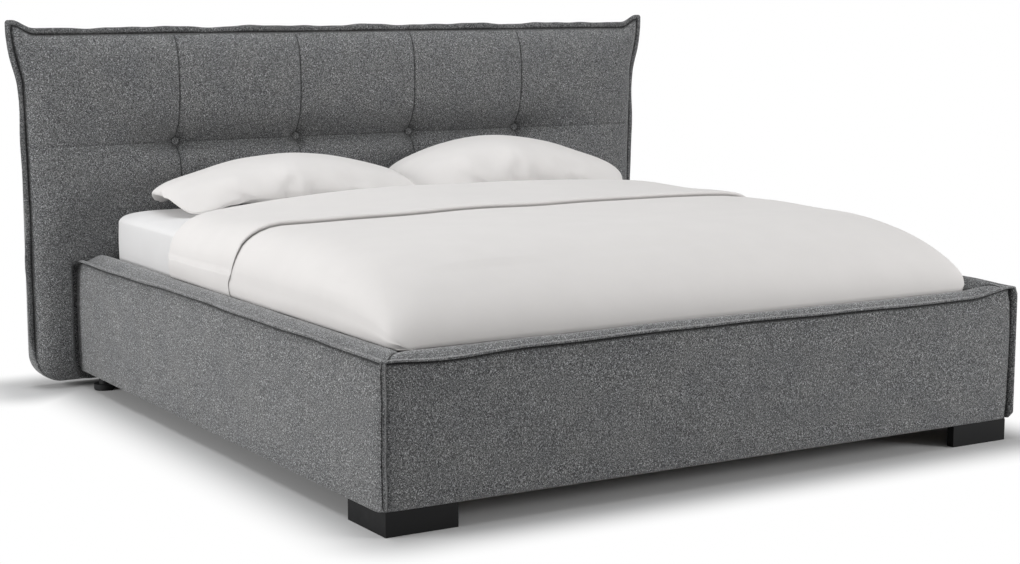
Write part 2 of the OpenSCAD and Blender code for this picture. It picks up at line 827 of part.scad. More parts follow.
// Steel angles: one flange on a side rail's inner face, one on the headboard's spacer block.
bracket_z = rail_clear + core_z + cover_t;
module headboard_brackets() {
    color(steel) difference() {
        for (s = [LEFT, RIGHT]) {
            side_block(s, [inner_x - steel_t, rail_end - bracket_w, bracket_z],
                       [inner_x, rail_end, bracket_z + bracket_h]);
            side_block(s, [inner_x - bracket_w, rail_end - steel_t, bracket_z],
                       [inner_x - steel_t, rail_end, bracket_z + bracket_h]);
        }
        headboard_bolt_shafts();
        bracket_holes(LEFT);
        bracket_holes(RIGHT);
    }
}

bracket_shares = [0.25, 0.75];
module headboard_bolt_places() {
    for (s = [LEFT, RIGHT], share = bracket_shares)
        translate([s * (inner_x - bracket_w / 2), foot_y + rail_end - steel_t, bracket_z + share * bracket_h])
            rotate([-90, 0, 0]) children();
}
module headboard_bolt_shafts() {
    headboard_bolt_places() cylinder(d = bolt_d, h = steel_t + batten_front - rail_end);
}
module rail_bolt_places(s) {
    for (share = bracket_shares)
        translate([s * (inner_x - steel_t), foot_y + rail_end - (bracket_w + steel_t) / 2,
                   bracket_z + share * bracket_h])
            rotate([0, s * 90, 0]) children();
}
module bracket_holes(s) { rail_bolt_places(s) cylinder(d = bolt_d, h = steel_t + cover_t + board_t); }

// Bolts through the angles: into the headboard, and into the side rails' inner boards.
module headboard_bolts() {
    color(steel) {
        headboard_bolt_shafts();
        headboard_bolt_places() mirror([0, 0, 1]) cylinder(d = bolt_head_d, h = bolt_head_t);
        for (s = [LEFT, RIGHT]) {
            bracket_holes(s);
            rail_bolt_places(s) mirror([0, 0, 1]) cylinder(d = bolt_head_d, h = bolt_head_t);
        }
    }
}

// ---- Mattress and bedding -------------------------------------------------------------------

// A block with upright corners of radius rc whose top edges are rounded by re, and its bottom ones by rb.
module soft_block(x, y0, y1, z0, z1, rc, re, rb) {
    hull() for (sx = [LEFT, RIGHT], sy = [0, 1])
        translate([sx * (x - rc), foot_y + (sy == 0 ? y0 + rc : y1 - rc), 0]) {
            translate([0, 0, z1 - re]) rotate_extrude($fn = hull_fn) quarter(rc, re);
            translate([0, 0, z0 + rb]) mirror([0, 0, 1]) rotate_extrude($fn = hull_fn) quarter(rc, rb);
        }
}

// Half section of a rounded rim: a quarter circle of radius re at the outer end of a flat top.
rim_steps = 4;
module quarter(rc, re) {
    polygon(concat([[0, 0], [rc, 0]],
        [for (i = [1 : rim_steps]) [rc - re + re * cos(90 * i / rim_steps), re * sin(90 * i / rim_steps)]],
        [[0, re]]));
}

module mattress_body(grow) {
    inset = sheet_t - grow;
    soft_block(mattress_w / 2 - inset, mattress_foot + inset, mattress_head - inset,
               mattress_z + inset, mattress_top + grow, mattress_corner_r, mattress_edge_r, mattress_edge_r);
}

module mattress() { color(linen) mattress_body(0); }

// A thin skin over the mattress, open underneath inside its hem.
module fitted_sheet() {
    hem = mattress_corner_r + sheet_hem;
    color("white") difference() {
        mattress_body(sheet_t);
        mattress_body(0);
        block([-mattress_w / 2 + hem, mattress_foot + hem, mattress_z - past],
              [mattress_w / 2 - hem, mattress_head - hem, mattress_z + mattress_h / 2]);
    }
}

// The duvet hangs over both sides and the foot, and its head end is turned back over itself.
duvet_x = mattress_w / 2 + duvet_side_t;
duvet_foot = foot_inner + duvet_foot_gap;
duvet_top = sheet_top + duvet_top_t;
foot_slices = 5;
flat_slices = 4;

// Half width and top height of the duvet at a place t along its foot's roll: 0 at the foot, 1 behind it.
function foot_width(t) = duvet_x - duvet_corner_r * (1 - sqrt(1 - pow(1 - t, 2)));
function foot_height(t) =
    duvet_z + (duvet_top - duvet_z) * (foot_upright + (1 - foot_upright) * sqrt(1 - pow(1 - t, 2)));
foot_upright = 0.52;

module duvet() {
    first = slice_t / duvet_corner_r;
    color(linen) difference() {
        union() {
            for (i = [0 : foot_slices - 1]) hull() {
                foot_slice(max(first, i / foot_slices));
                foot_slice((i + 1) / foot_slices);
            }
            duvet_run(duvet_foot + duvet_corner_r - slice_t, duvet_head_y, duvet_x, duvet_top, duvet_top);
            duvet_run(duvet_turn_y, duvet_head_y + duvet_fold_t, duvet_x + duvet_fold_t / 4,
                      duvet_top + duvet_fold_t, duvet_top + duvet_fold_t / 2);
        }
        duvet_room();
    }
}

// Room for the mattress and its sheet, open downwards and at the head end.
module duvet_room() {
    soft_block(mattress_w / 2 + soft_gap, mattress_foot - soft_gap, mattress_head + mattress_l,
               duvet_z - mattress_h / 2, sheet_top + soft_gap, mattress_corner_r, mattress_edge_r, past);
}

// One thin slice across the duvet, with rounded shoulders.
slice_t = 1;
module duvet_slice(y, half, top) {
    r = min(duvet_edge_r, (top - duvet_z) * 0.9);
    across(y - slice_t, y) {
        translate([-half, duvet_z]) square([2 * half, top - duvet_z - r]);
        for (m = [0, 1]) mirror([m, 0]) translate([half - r, top - r]) intersection() {
            circle(r, $fn = hull_fn);
            square(r);
        }
        translate([-half + r, top - r]) square([2 * (half - r), r]);
    }
}
module foot_slice(t) { duvet_slice(duvet_foot + t * duvet_corner_r, foot_width(t), foot_height(t)); }

// A straight run of the duvet from y0 to y1 whose top goes from top0 to top1.
module duvet_run(y0, y1, half, top0, top1) {
    for (i = [0 : flat_slices - 1]) hull() for (k = [i, i + 1]) let (t = k / flat_slices)
        duvet_slice(y0 + slice_t + (y1 - y0 - slice_t) * t, half, top0 + (top1 - top0) * t);
}

// A pillow swells in the middle and runs out to a thin hem: w across, l deep.
pillow_steps = 14;
pillow_power = 3;
pillow_sink = 0.28;
pillow_rim = 6;
pillow_y = crown_front - pillow_back - pillow_l / 2;
pillow_z = sheet_top + soft_gap + pillow_h * pillow_sink;
function swell(u, v) = pow((1 - pow(abs(u), pillow_power)) * (1 - pow(abs(v), pillow_power)), 0.6);
module pillow(s) {
    m = pillow_steps + 1;
    top_h = pillow_h * (1 - pillow_sink) - pillow_rim / 2;
    low_h = pillow_h * pillow_sink - pillow_rim / 2;
    marks = [for (i = [0 : pillow_steps]) sin(90 * (2 * i / pillow_steps - 1))];
    top = [for (v = marks, u = marks)
        [u * pillow_w / 2, v * pillow_l / 2, pillow_rim / 2 + top_h * swell(u, v)]];
    low = [for (v = marks, u = marks)
        [u * pillow_w / 2, v * pillow_l / 2, -pillow_rim / 2 - low_h * min(1, swell(u, v) * 2)]];
    n = m * m;
    quads = [for (j = [0 : m - 2], i = [0 : m - 2]) let (a = j * m + i) [a, a + 1, a + m + 1, a + m]];
    rim = concat([for (i = [0 : m - 1]) i], [for (j = [1 : m - 1]) j * m + m - 1],
        [for (i = [m - 2 : -1 : 0]) (m - 1) * m + i], [for (j = [m - 2 : -1 : 1]) j * m]);
    faces = concat(
        [for (q = quads) each [[q[0], q[2], q[1]], [q[0], q[3], q[2]]]],
        [for (q = quads) each [[q[0] + n, q[1] + n, q[2] + n], [q[0] + n, q[2] + n, q[3] + n]]],
        [for (k = [0 : len(rim) - 1]) let (a = rim[k], b = rim[(k + 1) % len(rim)])
            each [[a, b, b + n], [a, b + n, a + n]]]);
    color(linen) translate([s * (pillow_gap + pillow_w) / 2, foot_y + pillow_y, pillow_z])
        polyhedron(concat(top, low), faces);
}

headboard_panel();
headboard_uprights();
headboard_cross_battens();
headboard_back_cloth();
headboard_border();
headboard_seam_flange();
headboard_cushion();
headboard_lower_cushions();
headboard_lower_pad();
headboard_buttons();
headboard_glides();
headboard_spacer_blocks();
headboard_brackets();
headboard_bolts();
side_outer_board(LEFT);  // left_rail_outer_board
side_inner_board(LEFT);  // left_rail_inner_board
side_battens(LEFT);  // left_rail_battens
side_padding(LEFT);  // left_rail_padding
side_seam_flange(LEFT);  // left_rail_seam_flange
side_outer_board(RIGHT);  // right_rail_outer_board
side_inner_board(RIGHT);  // right_rail_inner_board
side_battens(RIGHT);  // right_rail_battens
side_padding(RIGHT);  // right_rail_padding
side_seam_flange(RIGHT);  // right_rail_seam_flange
foot_rail_outer_board();
foot_rail_inner_board();
foot_rail_battens();
foot_rail_padding();
foot_rail_seam_flange();
corner_flange(LEFT);  // left_corner_flange
corner_flange(RIGHT);  // right_corner_flange
corner_blocks();
corner_bolts();
corner_leg(LEFT);  // left_corner_leg
corner_leg(RIGHT);  // right_corner_leg
leg_bolts();
head_foot_sleeves();
head_foot(LEFT);  // left_head_foot
head_foot(RIGHT);  // right_head_foot
ledger(LEFT);  // left_ledger
ledger(RIGHT);  // right_ledger
head_cross_bar();
centre_beam();
centre_beam_brackets();
centre_legs();
centre_glide(centre_leg_y[0]);  // foot_centre_glide
centre_glide(centre_leg_y[1]);  // head_centre_glide
slat_frame(LEFT);  // left_slat_frame
slat_holders(LEFT);  // left_slat_holders
slats(LEFT);  // left_slats
slat_frame(RIGHT);  // right_slat_frame
slat_holders(RIGHT);  // right_slat_holders
slats(RIGHT);  // right_slats
mattress();
fitted_sheet();
duvet();
pillow(LEFT);  // left_pillow
pillow(RIGHT);  // right_pillow
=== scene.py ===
import math

import bmesh
import bpy
import numpy as np
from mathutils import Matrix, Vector, noise


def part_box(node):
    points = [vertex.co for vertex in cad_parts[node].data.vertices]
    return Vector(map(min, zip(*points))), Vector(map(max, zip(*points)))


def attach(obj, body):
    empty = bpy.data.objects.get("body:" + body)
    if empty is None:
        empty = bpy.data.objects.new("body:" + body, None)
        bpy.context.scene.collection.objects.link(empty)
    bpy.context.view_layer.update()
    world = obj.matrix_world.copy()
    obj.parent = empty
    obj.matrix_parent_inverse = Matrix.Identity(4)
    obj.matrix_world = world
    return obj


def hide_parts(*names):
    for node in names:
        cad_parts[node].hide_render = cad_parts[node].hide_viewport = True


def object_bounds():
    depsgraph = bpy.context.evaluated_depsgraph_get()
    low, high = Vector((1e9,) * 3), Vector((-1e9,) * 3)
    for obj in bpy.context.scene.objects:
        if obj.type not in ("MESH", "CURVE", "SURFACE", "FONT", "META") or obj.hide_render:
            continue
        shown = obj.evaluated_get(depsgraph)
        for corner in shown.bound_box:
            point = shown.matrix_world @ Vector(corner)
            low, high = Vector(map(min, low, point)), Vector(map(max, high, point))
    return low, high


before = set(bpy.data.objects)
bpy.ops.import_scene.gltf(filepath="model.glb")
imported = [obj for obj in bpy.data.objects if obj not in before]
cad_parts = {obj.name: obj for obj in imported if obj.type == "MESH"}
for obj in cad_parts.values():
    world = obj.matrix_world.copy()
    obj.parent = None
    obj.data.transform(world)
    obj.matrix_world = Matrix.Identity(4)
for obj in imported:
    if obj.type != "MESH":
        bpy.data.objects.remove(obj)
CAD_LO, CAD_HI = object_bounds()
FOOT = CAD_LO.y  # the foot end's outermost point; y in this script counts from here
LEFT, RIGHT = -1, 1


def box(node):
    """A node's lowest and highest corners, with y counted from the foot end."""
    low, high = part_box(node)
    return np.array([low.x, low.y - FOOT, low.z]), np.array([high.x, high.y - FOOT, high.z])


# ---- Scene: camera, floor, light ----

LOOKS_DOWN, TURNED = 8.41, 31.26  # the camera, in degrees from level and from the bed's length

scene = bpy.context.scene
for old in [o for o in scene.objects if o.type in ("CAMERA", "LIGHT")]:
    bpy.data.objects.remove(old)
scene.view_settings.view_transform = "Standard"

camera = bpy.data.objects.new("camera", bpy.data.cameras.new("camera"))
scene.collection.objects.link(camera)
camera.data.sensor_width, camera.data.lens = 36, 70.14  # millimetres
camera.location = (-3.144, FOOT - 4.069, 1.297)
camera.rotation_euler = (math.radians(90 - LOOKS_DOWN), 0, math.radians(-TURNED))
camera.data.clip_end = 60
scene.camera = camera


def nodes_of(material):
    material.use_nodes = True
    tree = material.node_tree
    tree.nodes.clear()
    return tree


def add(tree, kind, links=(), **values):
    """A new node: values set its inputs or properties, links are (input, socket) pairs."""
    node = tree.nodes.new("ShaderNode" + kind)
    for key, value in values.items():
        if hasattr(node, key) and key not in ("color", "width"):
            setattr(node, key, value)
        else:
            node.inputs[key.replace("_", " ")].default_value = value
    for key, socket in links:
        tree.links.new(socket, node.inputs[key])
    return node


def feed(tree, socket, value):
    """Give an input a number or a colour, or link another node's output to it."""
    if isinstance(value, (int, float)):
        socket.default_value = value
    elif isinstance(value, tuple):
        socket.default_value = (*value, 1)
    else:
        tree.links.new(value, socket)


def calc(tree, operation, *values):
    node = add(tree, "Math", operation=operation)
    for socket, value in zip(node.inputs, values):
        feed(tree, socket, value)
    return node.outputs[0]


def summed(tree, *parts):
    """The sum of parts, each a (socket, share) pair."""
    total = 0.0
    for socket, share in parts:
        total = calc(tree, "ADD", total, calc(tree, "MULTIPLY", socket, share))
    return total


def tint(tree, mode, share, a, b):
    node = add(tree, "Mix", data_type="RGBA", blend_type=mode)
    for i, value in ((0, share), (6, a), (7, b)):
        feed(tree, node.inputs[i], value)
    return node.outputs[2]


def shown_white(tree, shader, kind, share=1.0):
    """The shader, but plain white, by a share, to camera, gloss and transmission rays."""
    path = add(tree, "LightPath").outputs
    mirrored = calc(tree, "MAXIMUM", path["Is Glossy Ray"], path["Is Transmission Ray"])
    seen = calc(tree, "MAXIMUM", path["Is Camera Ray"], mirrored)
    fac = calc(tree, "MULTIPLY", seen, share)
    white = add(tree, kind, Color=(1, 1, 1, 1), Strength=1.0).outputs[0]
    return add(tree, "MixShader", [(0, fac), (1, shader), (2, white)]).outputs[0]


world = bpy.data.worlds.new("studio")
scene.world = world
world_tree = nodes_of(world)
sky = add(world_tree, "Background", Color=(1.0, 0.99, 0.98, 1), Strength=0.27)
add(world_tree, "OutputWorld",
    [("Surface", shown_white(world_tree, sky.outputs[0], "Background"))])


def floor():
    """A plain pale floor that keeps the bed's shadow and runs out to white away from it."""
    size = 30
    grey, seen_grey = (0.58,) * 3, (0.7,) * 3  # as light bounces off it, and as the camera sees it
    shadow_from, shadow_to = 0.01, 0.24  # metres from the bed, where the floor runs out to white
    material = bpy.data.materials.new("floor")
    tree = nodes_of(material)
    by_camera = add(tree, "LightPath").outputs["Is Camera Ray"]
    diffuse = add(tree, "BsdfDiffuse",
                  [("Color", tint(tree, "MIX", by_camera, grey, seen_grey))])
    where = add(tree, "TexCoord").outputs["Object"]
    place = add(tree, "SeparateXYZ", [("Vector", where)]).outputs
    base_half = float(box("right_rail_padding")[1][0])
    headboard_front_y = float(box("headboard_cushion")[0][1]) + FOOT
    aways = []  # the distances from the base and from the headboard
    for half, front in ((base_half, CAD_LO.y), (CAD_HI.x, headboard_front_y)):
        beyond = [calc(tree, "SUBTRACT", calc(tree, "ABSOLUTE", place["X"]), half),
                  calc(tree, "SUBTRACT", front, place["Y"]),
                  calc(tree, "SUBTRACT", place["Y"], CAD_HI.y)]
        total = 0.0
        for gap in beyond:
            square = calc(tree, "POWER", calc(tree, "MAXIMUM", gap, 0.0), 2.0)
            total = calc(tree, "ADD", total, square)
        aways.append(calc(tree, "SQRT", total))
    share = add(tree, "MapRange", [("Value", calc(tree, "MINIMUM", *aways))],
                interpolation_type="SMOOTHSTEP", From_Min=shadow_from, From_Max=shadow_to)
    surface = shown_white(tree, diffuse.outputs[0], "Emission", share.outputs[0])
    add(tree, "OutputMaterial", [("Surface", surface)])
    mesh = bpy.data.meshes.new("floor")
    corners = [(-size, -size, 0), (size, -size, 0), (size, size, 0), (-size, size, 0)]
    mesh.from_pydata(corners, [], [(0, 1, 2, 3)])
    mesh.materials.append(material)
    plane = bpy.data.objects.new("floor", mesh)
    scene.collection.objects.link(plane)


floor()


def lamp(name, place, aim, size, power, colour=(1, 1, 1)):
    light = bpy.data.lights.new(name, "AREA")
    light.shape = "RECTANGLE"
    light.size, light.size_y = size
    light.energy = power
    light.color = colour
    ob = bpy.data.objects.new(name, light)
    scene.collection.objects.link(ob)
    ob.location = Vector(place)
    ob.rotation_mode = "QUATERNION"
    ob.rotation_quaternion = (Vector(aim) - Vector(place)).to_track_quat("-Z", "Y")


lamp("left_light", (-6.0, 0.8, 1.9), (0, 0, 0.3), (3.0, 1.8), 187)
lamp("top_light", (-0.8, 0.2, 5.0), (-0.2, 0.1, 0), (4.5, 3.5), 131, (0.97, 0.985, 1.0))
lamp("right_front_light", (4.4, -4.9, 1.9), (0.3, 0, 0.5), (2.6, 1.8), 190)

# ---- Materials ----


def place_of(tree, scale=(1, 1, 1)):
    where = add(tree, "TexCoord").outputs["Object"]
    return add(tree, "Mapping", [("Vector", where)], Scale=scale).outputs[0]


def grain(tree, scale, detail=3.0, rough=0.55, stretch=(1, 1, 1)):
    """Noise on the object's own coordinates, in metres."""
    return add(tree, "TexNoise", [("Vector", place_of(tree, stretch))],
               Scale=scale, Detail=detail, Roughness=rough).outputs["Fac"]


def ramp(tree, value, stops):
    node = add(tree, "ValToRGB", [("Fac", value)])
    marks = node.color_ramp.elements
    while len(marks) < len(stops):
        marks.new(0.5)
    for mark, (at, colour) in zip(marks, stops):
        mark.position = at
        mark.color = (*colour, 1)
    return node.outputs["Color"]


def bumps(tree, *layers):
    """A chain of bumps: (height, strength, distance in metres)."""
    normal = None
    for height, strength, distance in layers:
        node = add(tree, "Bump", [("Height", height)], Strength=strength, Distance=distance)
        if normal is not None:
            tree.links.new(normal, node.inputs["Normal"])
        normal = node.outputs[0]
    return normal


def times(colour, factor):
    return tuple(factor * c for c in colour)


def finish_material(name, look, *values, **named):
    """A material whose nodes are made by a look, such as tweed or wood, with these values."""
    material = bpy.data.materials.new(name)
    tree = nodes_of(material)
    shader = add(tree, "BsdfPrincipled")
    add(tree, "OutputMaterial", [("Surface", shader.outputs[0])])
    look(tree, shader, *values, **named)
    return material


def connect(tree, shader, colour, rough, normal, **fixed):
    for key, value in (("Base Color", colour), ("Roughness", rough), ("Normal", normal)):
        feed(tree, shader.inputs[key], value)
    for key, value in fixed.items():
        shader.inputs[key.replace("_", " ")].default_value = value


def in_seams(tree, colour, dark):
    """The colour with painted shade: darkened as far as the mesh's painted-shade attribute says, in
    creases and along stitching.
    """
    seam = add(tree, "Attribute", attribute_name="seam").outputs["Fac"]
    shade = ramp(tree, seam, [(0.0, (1, 1, 1)), (1.0, (dark,) * 3)])
    return tint(tree, "MULTIPLY", 1.0, colour, shade)


def tweed(tree, shader, level):
    """Melange wool-look cloth: dark, middle and pale yarns crossing, a few millimetres apart."""
    across = grain(tree, 1.0, 1.5, 0.6, (330, 200, 760))
    along = grain(tree, 1.0, 1.5, 0.6, (700, 380, 250))
    flecks = grain(tree, 1.0, 1.5, 0.7, (420, 250, 420))
    knots = grain(tree, 1.0, 2.0, 0.6, (210, 130, 210))
    clouds = grain(tree, 9.0, 4.0, 0.6)
    yarn = summed(tree, (across, 0.3), (along, 0.3), (flecks, 0.24), (knots, 0.14))
    stops = [(0.41, 0.018), (0.47, 0.07), (0.53, 0.16), (0.6, 0.47)]
    colour = ramp(tree, yarn, [(at, times((0.985, 1, 1.018), level * v)) for at, v in stops])
    shade = ramp(tree, clouds, [(0.3, (0.9, 0.905, 0.915)), (0.7, (1.09, 1.085, 1.07))])
    # painted shade in creases and along stitching darkens the tweed down to 0.16 of its colour
    colour = in_seams(tree, tint(tree, "MULTIPLY", 1.0, colour, shade), 0.16)
    normal = bumps(tree, (yarn, 0.5, 0.0015), (grain(tree, 900, 1.0), 0.2, 0.0004))
    connect(tree, shader, colour, 0.93, normal,
            Specular_IOR_Level=0.15, Sheen_Weight=0.28, Sheen_Roughness=0.5)


def linen(tree, shader, colour, weave):
    """Plain woven cloth: fine threads both ways and slow unevenness."""
    threads = calc(tree, "ADD", grain(tree, 1.0, 1.0, 0.5, (260, 260, 1400)),
                   grain(tree, 1.0, 1.0, 0.5, (1300, 240, 240)))
    soft = grain(tree, 9.0, 3.0, 0.5)
    shade = ramp(tree, soft, [(0.3, times(colour, 0.985)), (0.7, times(colour, 1.01))])
    normal = bumps(tree, (soft, 0.18, 0.004), (threads, weave, 0.0003))
    # painted shade along the hem darkens the linen down to 0.55 of its colour
    connect(tree, shader, in_seams(tree, shade, 0.55), 0.78, normal,
            Specular_IOR_Level=0.2, Sheen_Weight=0.08, Sheen_Roughness=0.5)


def wood(tree, shader, axis, pale, dark, ring, rough=0.6):
    """Sawn timber with its grain along one axis."""
    stretch = [1.0, 1.0, 1.0]
    stretch[axis] = 0.07
    wobble = grain(tree, 5.0, 3.0, 0.5, stretch)
    rings = add(tree, "TexWave", [("Vector", place_of(tree, stretch))],
                wave_type="BANDS", bands_direction="DIAGONAL",
                Scale=ring, Distortion=6.0, Detail=3.0).outputs["Fac"]
    fibre = grain(tree, 320.0, 2.0, 0.6, stretch)
    middle = tuple((a + b) / 2 for a, b in zip(pale, dark))
    colour = ramp(tree, summed(tree, (rings, 0.5), (wobble, 0.5)),
                  [(0.25, pale), (0.55, middle), (0.85, dark)])
    fine = ramp(tree, fibre, [(0.35, (0.88, 0.86, 0.84)), (0.6, (1, 1, 1))])
    connect(tree, shader, tint(tree, "MULTIPLY", 0.8, colour, fine), rough,
            bumps(tree, (fibre, 0.25, 0.0006)), Specular_IOR_Level=0.3)


def coated(tree, shader, colour, rough, speck, metal=0.0, strength=0.15, shine=0.5):
    """Painted, moulded or plated: one colour with fine texture, faint smudges and rough patches."""
    smudge = grain(tree, 14.0, 4.0, 0.6)
    roughness = ramp(tree, smudge, [(0.3, (rough * 0.85,) * 3), (0.75, (rough * 1.25,) * 3)])
    shade = ramp(tree, smudge, [(0.3, times(colour, 0.9)), (0.7, times(colour, 1.12))])
    normal = bumps(tree, (grain(tree, speck, 2.0), strength, 0.0003))
    connect(tree, shader, shade, roughness, normal, Metallic=metal, Specular_IOR_Level=shine)


def sawn(name, *values):
    """A kind of timber with its grain along x, y or z."""
    return [finish_material(f"{name}_{'xyz'[axis]}", wood, axis, *values) for axis in range(3)]


def coating(name, *values, **named):
    return finish_material(name, coated, *values, **named)


upholstery = finish_material("upholstery_tweed", tweed, 1.34)
# the same tweed painted darker, for the shade that falls on the headboard's flange
shaded_flange_tweed = finish_material("upholstery_flange", tweed, 1.17)
bed_linen = finish_material("bed_linen", linen, (0.735, 0.715, 0.702), 0.1)
white_cotton = finish_material("white_cotton", linen, (0.75, 0.745, 0.745), 0.08)
foam_cover = finish_material("mattress_cover", linen, (0.78, 0.77, 0.74), 0.3)
dust_cloth = coating("dust_cloth", (0.03, 0.03, 0.032), 0.95, 420.0, strength=0.5, shine=0.2)
black_legs = coating("black_legs", (0.0095, 0.0095, 0.01), 0.55, 260.0, shine=0.14)
black_plastic = coating("black_plastic", (0.014, 0.014, 0.015), 0.5, 1500.0, shine=0.25)
black_rubber = coating("black_rubber", (0.012, 0.012, 0.012), 0.85, 700.0, shine=0.2)
black_steel = coating("black_steel", (0.018, 0.018, 0.019), 0.45, 1800.0, strength=0.3)
zinc_steel = coating("zinc_steel", (0.6, 0.6, 0.61), 0.34, 1200.0, metal=1.0)
timber = sawn("timber", (0.66, 0.47, 0.27), (0.47, 0.3, 0.15), 26.0)
board = sawn("board", (0.6, 0.45, 0.29), (0.5, 0.36, 0.22), 12.0)
beech = finish_material("beech_x", wood, 0, (0.72, 0.55, 0.38), (0.6, 0.42, 0.26), 40.0, 0.45)

for material, names in (
    (board[0], "headboard_panel foot_rail_outer_board foot_rail_inner_board"),
    (board[1], "left_rail_outer_board left_rail_inner_board"),
    (board[1], "right_rail_outer_board right_rail_inner_board"),
    (timber[0], "headboard_cross_battens foot_rail_battens head_cross_bar"),
    (timber[1], "left_rail_battens right_rail_battens left_ledger right_ledger centre_beam"),
    (timber[2], "headboard_uprights headboard_spacer_blocks corner_blocks"),
    (beech, "left_slat_frame right_slat_frame left_slats right_slats"),
    (zinc_steel, "headboard_brackets headboard_bolts corner_bolts leg_bolts centre_beam_brackets"),
    (black_legs, "left_corner_leg right_corner_leg"),
    (black_steel, "centre_legs"),
    (black_rubber, "left_slat_holders right_slat_holders"),
    (black_plastic, "headboard_glides left_head_foot right_head_foot head_foot_sleeves"),
    (black_plastic, "foot_centre_glide head_centre_glide"),
):
    for node in names.split():
        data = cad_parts[node].data
        data.materials.clear()
        data.materials.append(material)

# ---- Mesh helpers ----


def quads(rows, columns, wrap_rows=False, wrap_columns=False, start=0):
    """Quads of a grid of points stored row by row."""
    i, j = np.meshgrid(np.arange(rows if wrap_rows else rows - 1),
                       np.arange(columns if wrap_columns else columns - 1), indexing="ij")
    i2, j2 = (i + 1) % rows, (j + 1) % columns
    q = np.stack([i * columns + j, i2 * columns + j, i2 * columns + j2, i * columns + j2], -1)
    return (q.reshape(-1, 4) + start).tolist()


def fan(ring, centre):
    ring = list(ring)
    return [(a, b, centre) for a, b in zip(ring, ring[1:] + ring[:1])]


def border(rows, columns):
    """The numbers of a grid's outermost points, once round."""
    return (list(range(columns)) + [i * columns + columns - 1 for i in range(1, rows)]
            + [(rows - 1) * columns + j for j in range(columns - 2, -1, -1)]
            + [i * columns for i in range(rows - 2, 0, -1)])


def make(name, shape, material, replaces, body="bed_frame"):
    """A smooth closed piece from points with y from the foot end, faces and, where it has them, the
    painted shade of each point, which darkens its colour in creases and along stitching."""
    points, faces, *seam = shape
    points = np.asarray(points, float).reshape(-1, 3) + (0, FOOT, 0)
    mesh = bpy.data.meshes.new(name)
    mesh.from_pydata(points.tolist(), [], faces)
    if seam:
        # each point's painted shade, which the material turns into darker colour
        mark = mesh.attributes.new("seam", "FLOAT", "POINT")
        mark.data.foreach_set("value", np.clip(np.ravel(seam[0]), 0, 1))
    work = bmesh.new()
    work.from_mesh(mesh)
    bmesh.ops.remove_doubles(work, verts=work.verts, dist=1e-6)
    bmesh.ops.recalc_face_normals(work, faces=work.faces)
    work.to_mesh(mesh)
    work.free()
    mesh.shade_smooth()
    mesh.materials.append(material)
    piece = bpy.data.objects.new(name, mesh)
    scene.collection.objects.link(piece)
    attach(piece, body)
    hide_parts(*replaces)
    return piece


def upholstered(name, shape, *replaces, material=upholstery):
    return make(name, shape, material, replaces)


def swept(sections, seams=0.0, ends=(0, 0)):
    """Points, faces and painted shades of a tube of loops in order, each end closed to its middle.
    """
    sections = np.asarray(sections)
    rows, n = sections.shape[:2]
    count = rows * n
    middles = [sections[-1].mean(0), sections[0].mean(0)]
    faces = quads(rows, n, False, True)
    faces += fan(range(count - n, count), count) + fan(range(n), count + 1)
    return (np.concatenate([sections.reshape(-1, 3), middles]), faces,
            np.append(np.broadcast_to(seams, (rows, n)), ends))


def marks(low, high, step, dense, near, fine):
    """Values from low to high, closer together round each value in dense."""
    found = list(np.linspace(low, high, max(2, round((high - low) / step) + 1)))
    for d in dense:
        found = [v for v in found if abs(v - d) > near * 0.999 or v in (low, high)]
        found += [v for v in np.arange(d - near, d + near + 1e-9, fine) if low < v < high]
    found = sorted(found)
    kept = [found[0]]
    for v in found[1:-1]:
        if v - kept[-1] > fine * 0.6 and found[-1] - v > fine * 0.6:
            kept.append(v)
    return np.array([*kept, found[-1]])


def wave(points, scale, seed):
    """Smooth noise, about -1 to 1, at each point; scale is waves per metre."""
    places = points.reshape(-1, 3) * scale + (seed, -seed, 2 * seed)
    return np.array([noise.noise(Vector(p)) for p in places]).reshape(points.shape[:-1]) * 1.6


def smoothstep(value, low, high):
    t = np.clip((value - low) / (high - low), 0, 1)
    return t * t * (3 - 2 * t)


def bell(value, width):
    return np.exp(-(value / width) ** 2)


def shoulder(gap, depth, width):
    """How far a quarter-round shoulder lies below its top, at a distance from its edge."""
    return depth * (1 - np.sqrt(np.maximum(1 - np.clip(1 - gap / width, 0, 1) ** 2, 0)))


# ---- Headboard ----

cushion_low, cushion_high = box("headboard_cushion")
flange_low, flange_high = box("headboard_seam_flange")
button_low, button_high = box("headboard_buttons")
border_low, border_high = box("headboard_border")
cloth_low, cloth_high = box("headboard_back_cloth")
HALF = cushion_high[0]  # to the cushion's edge at either side
TOP = cushion_high[2]
BOTTOM = box("headboard_lower_cushions")[0][2]
SPLIT = cushion_low[2]  # the seam where the lower field begins
PLANE = (flange_low[1] + flange_high[1]) / 2  # where the cushion's edge is sewn into the flange
BUTTON_Z = (button_low[2] + button_high[2]) / 2
BUTTON_D = button_high[2] - button_low[2]
OUTER_SEAM = button_high[0] - BUTTON_D / 2
SEAMS = [-OUTER_SEAM, -OUTER_SEAM / 3, OUTER_SEAM / 3, OUTER_SEAM]
CORNER = border_low[2] - BOTTOM  # radius of the two bottom corners
STRIP = 0.019  # width of the flange down the sides
STRIP_TOP = 0.0215  # and along the top
EAR_X = flange_high[0] - HALF - STRIP + 0.014  # how far an ear's tip stands out past the flange
EAR_Z = flange_high[2] - TOP - 0.028  # and how far it stands up
CROWN = 0.056  # how far the stuffed front stands out
# behind the mattress and the rails the lower field is pressed flat: each fades out across these x
BEHIND_MATTRESS, BEHIND_RAIL = (0.905, 0.925), (1.03, 1.052)
MATTRESS_PRESS, RAIL_PRESS = 0.0225, 0.0085  # how far it still stands out there
BACK_INSET = 0.012  # from the headboard's outline in to the back cloth's edge


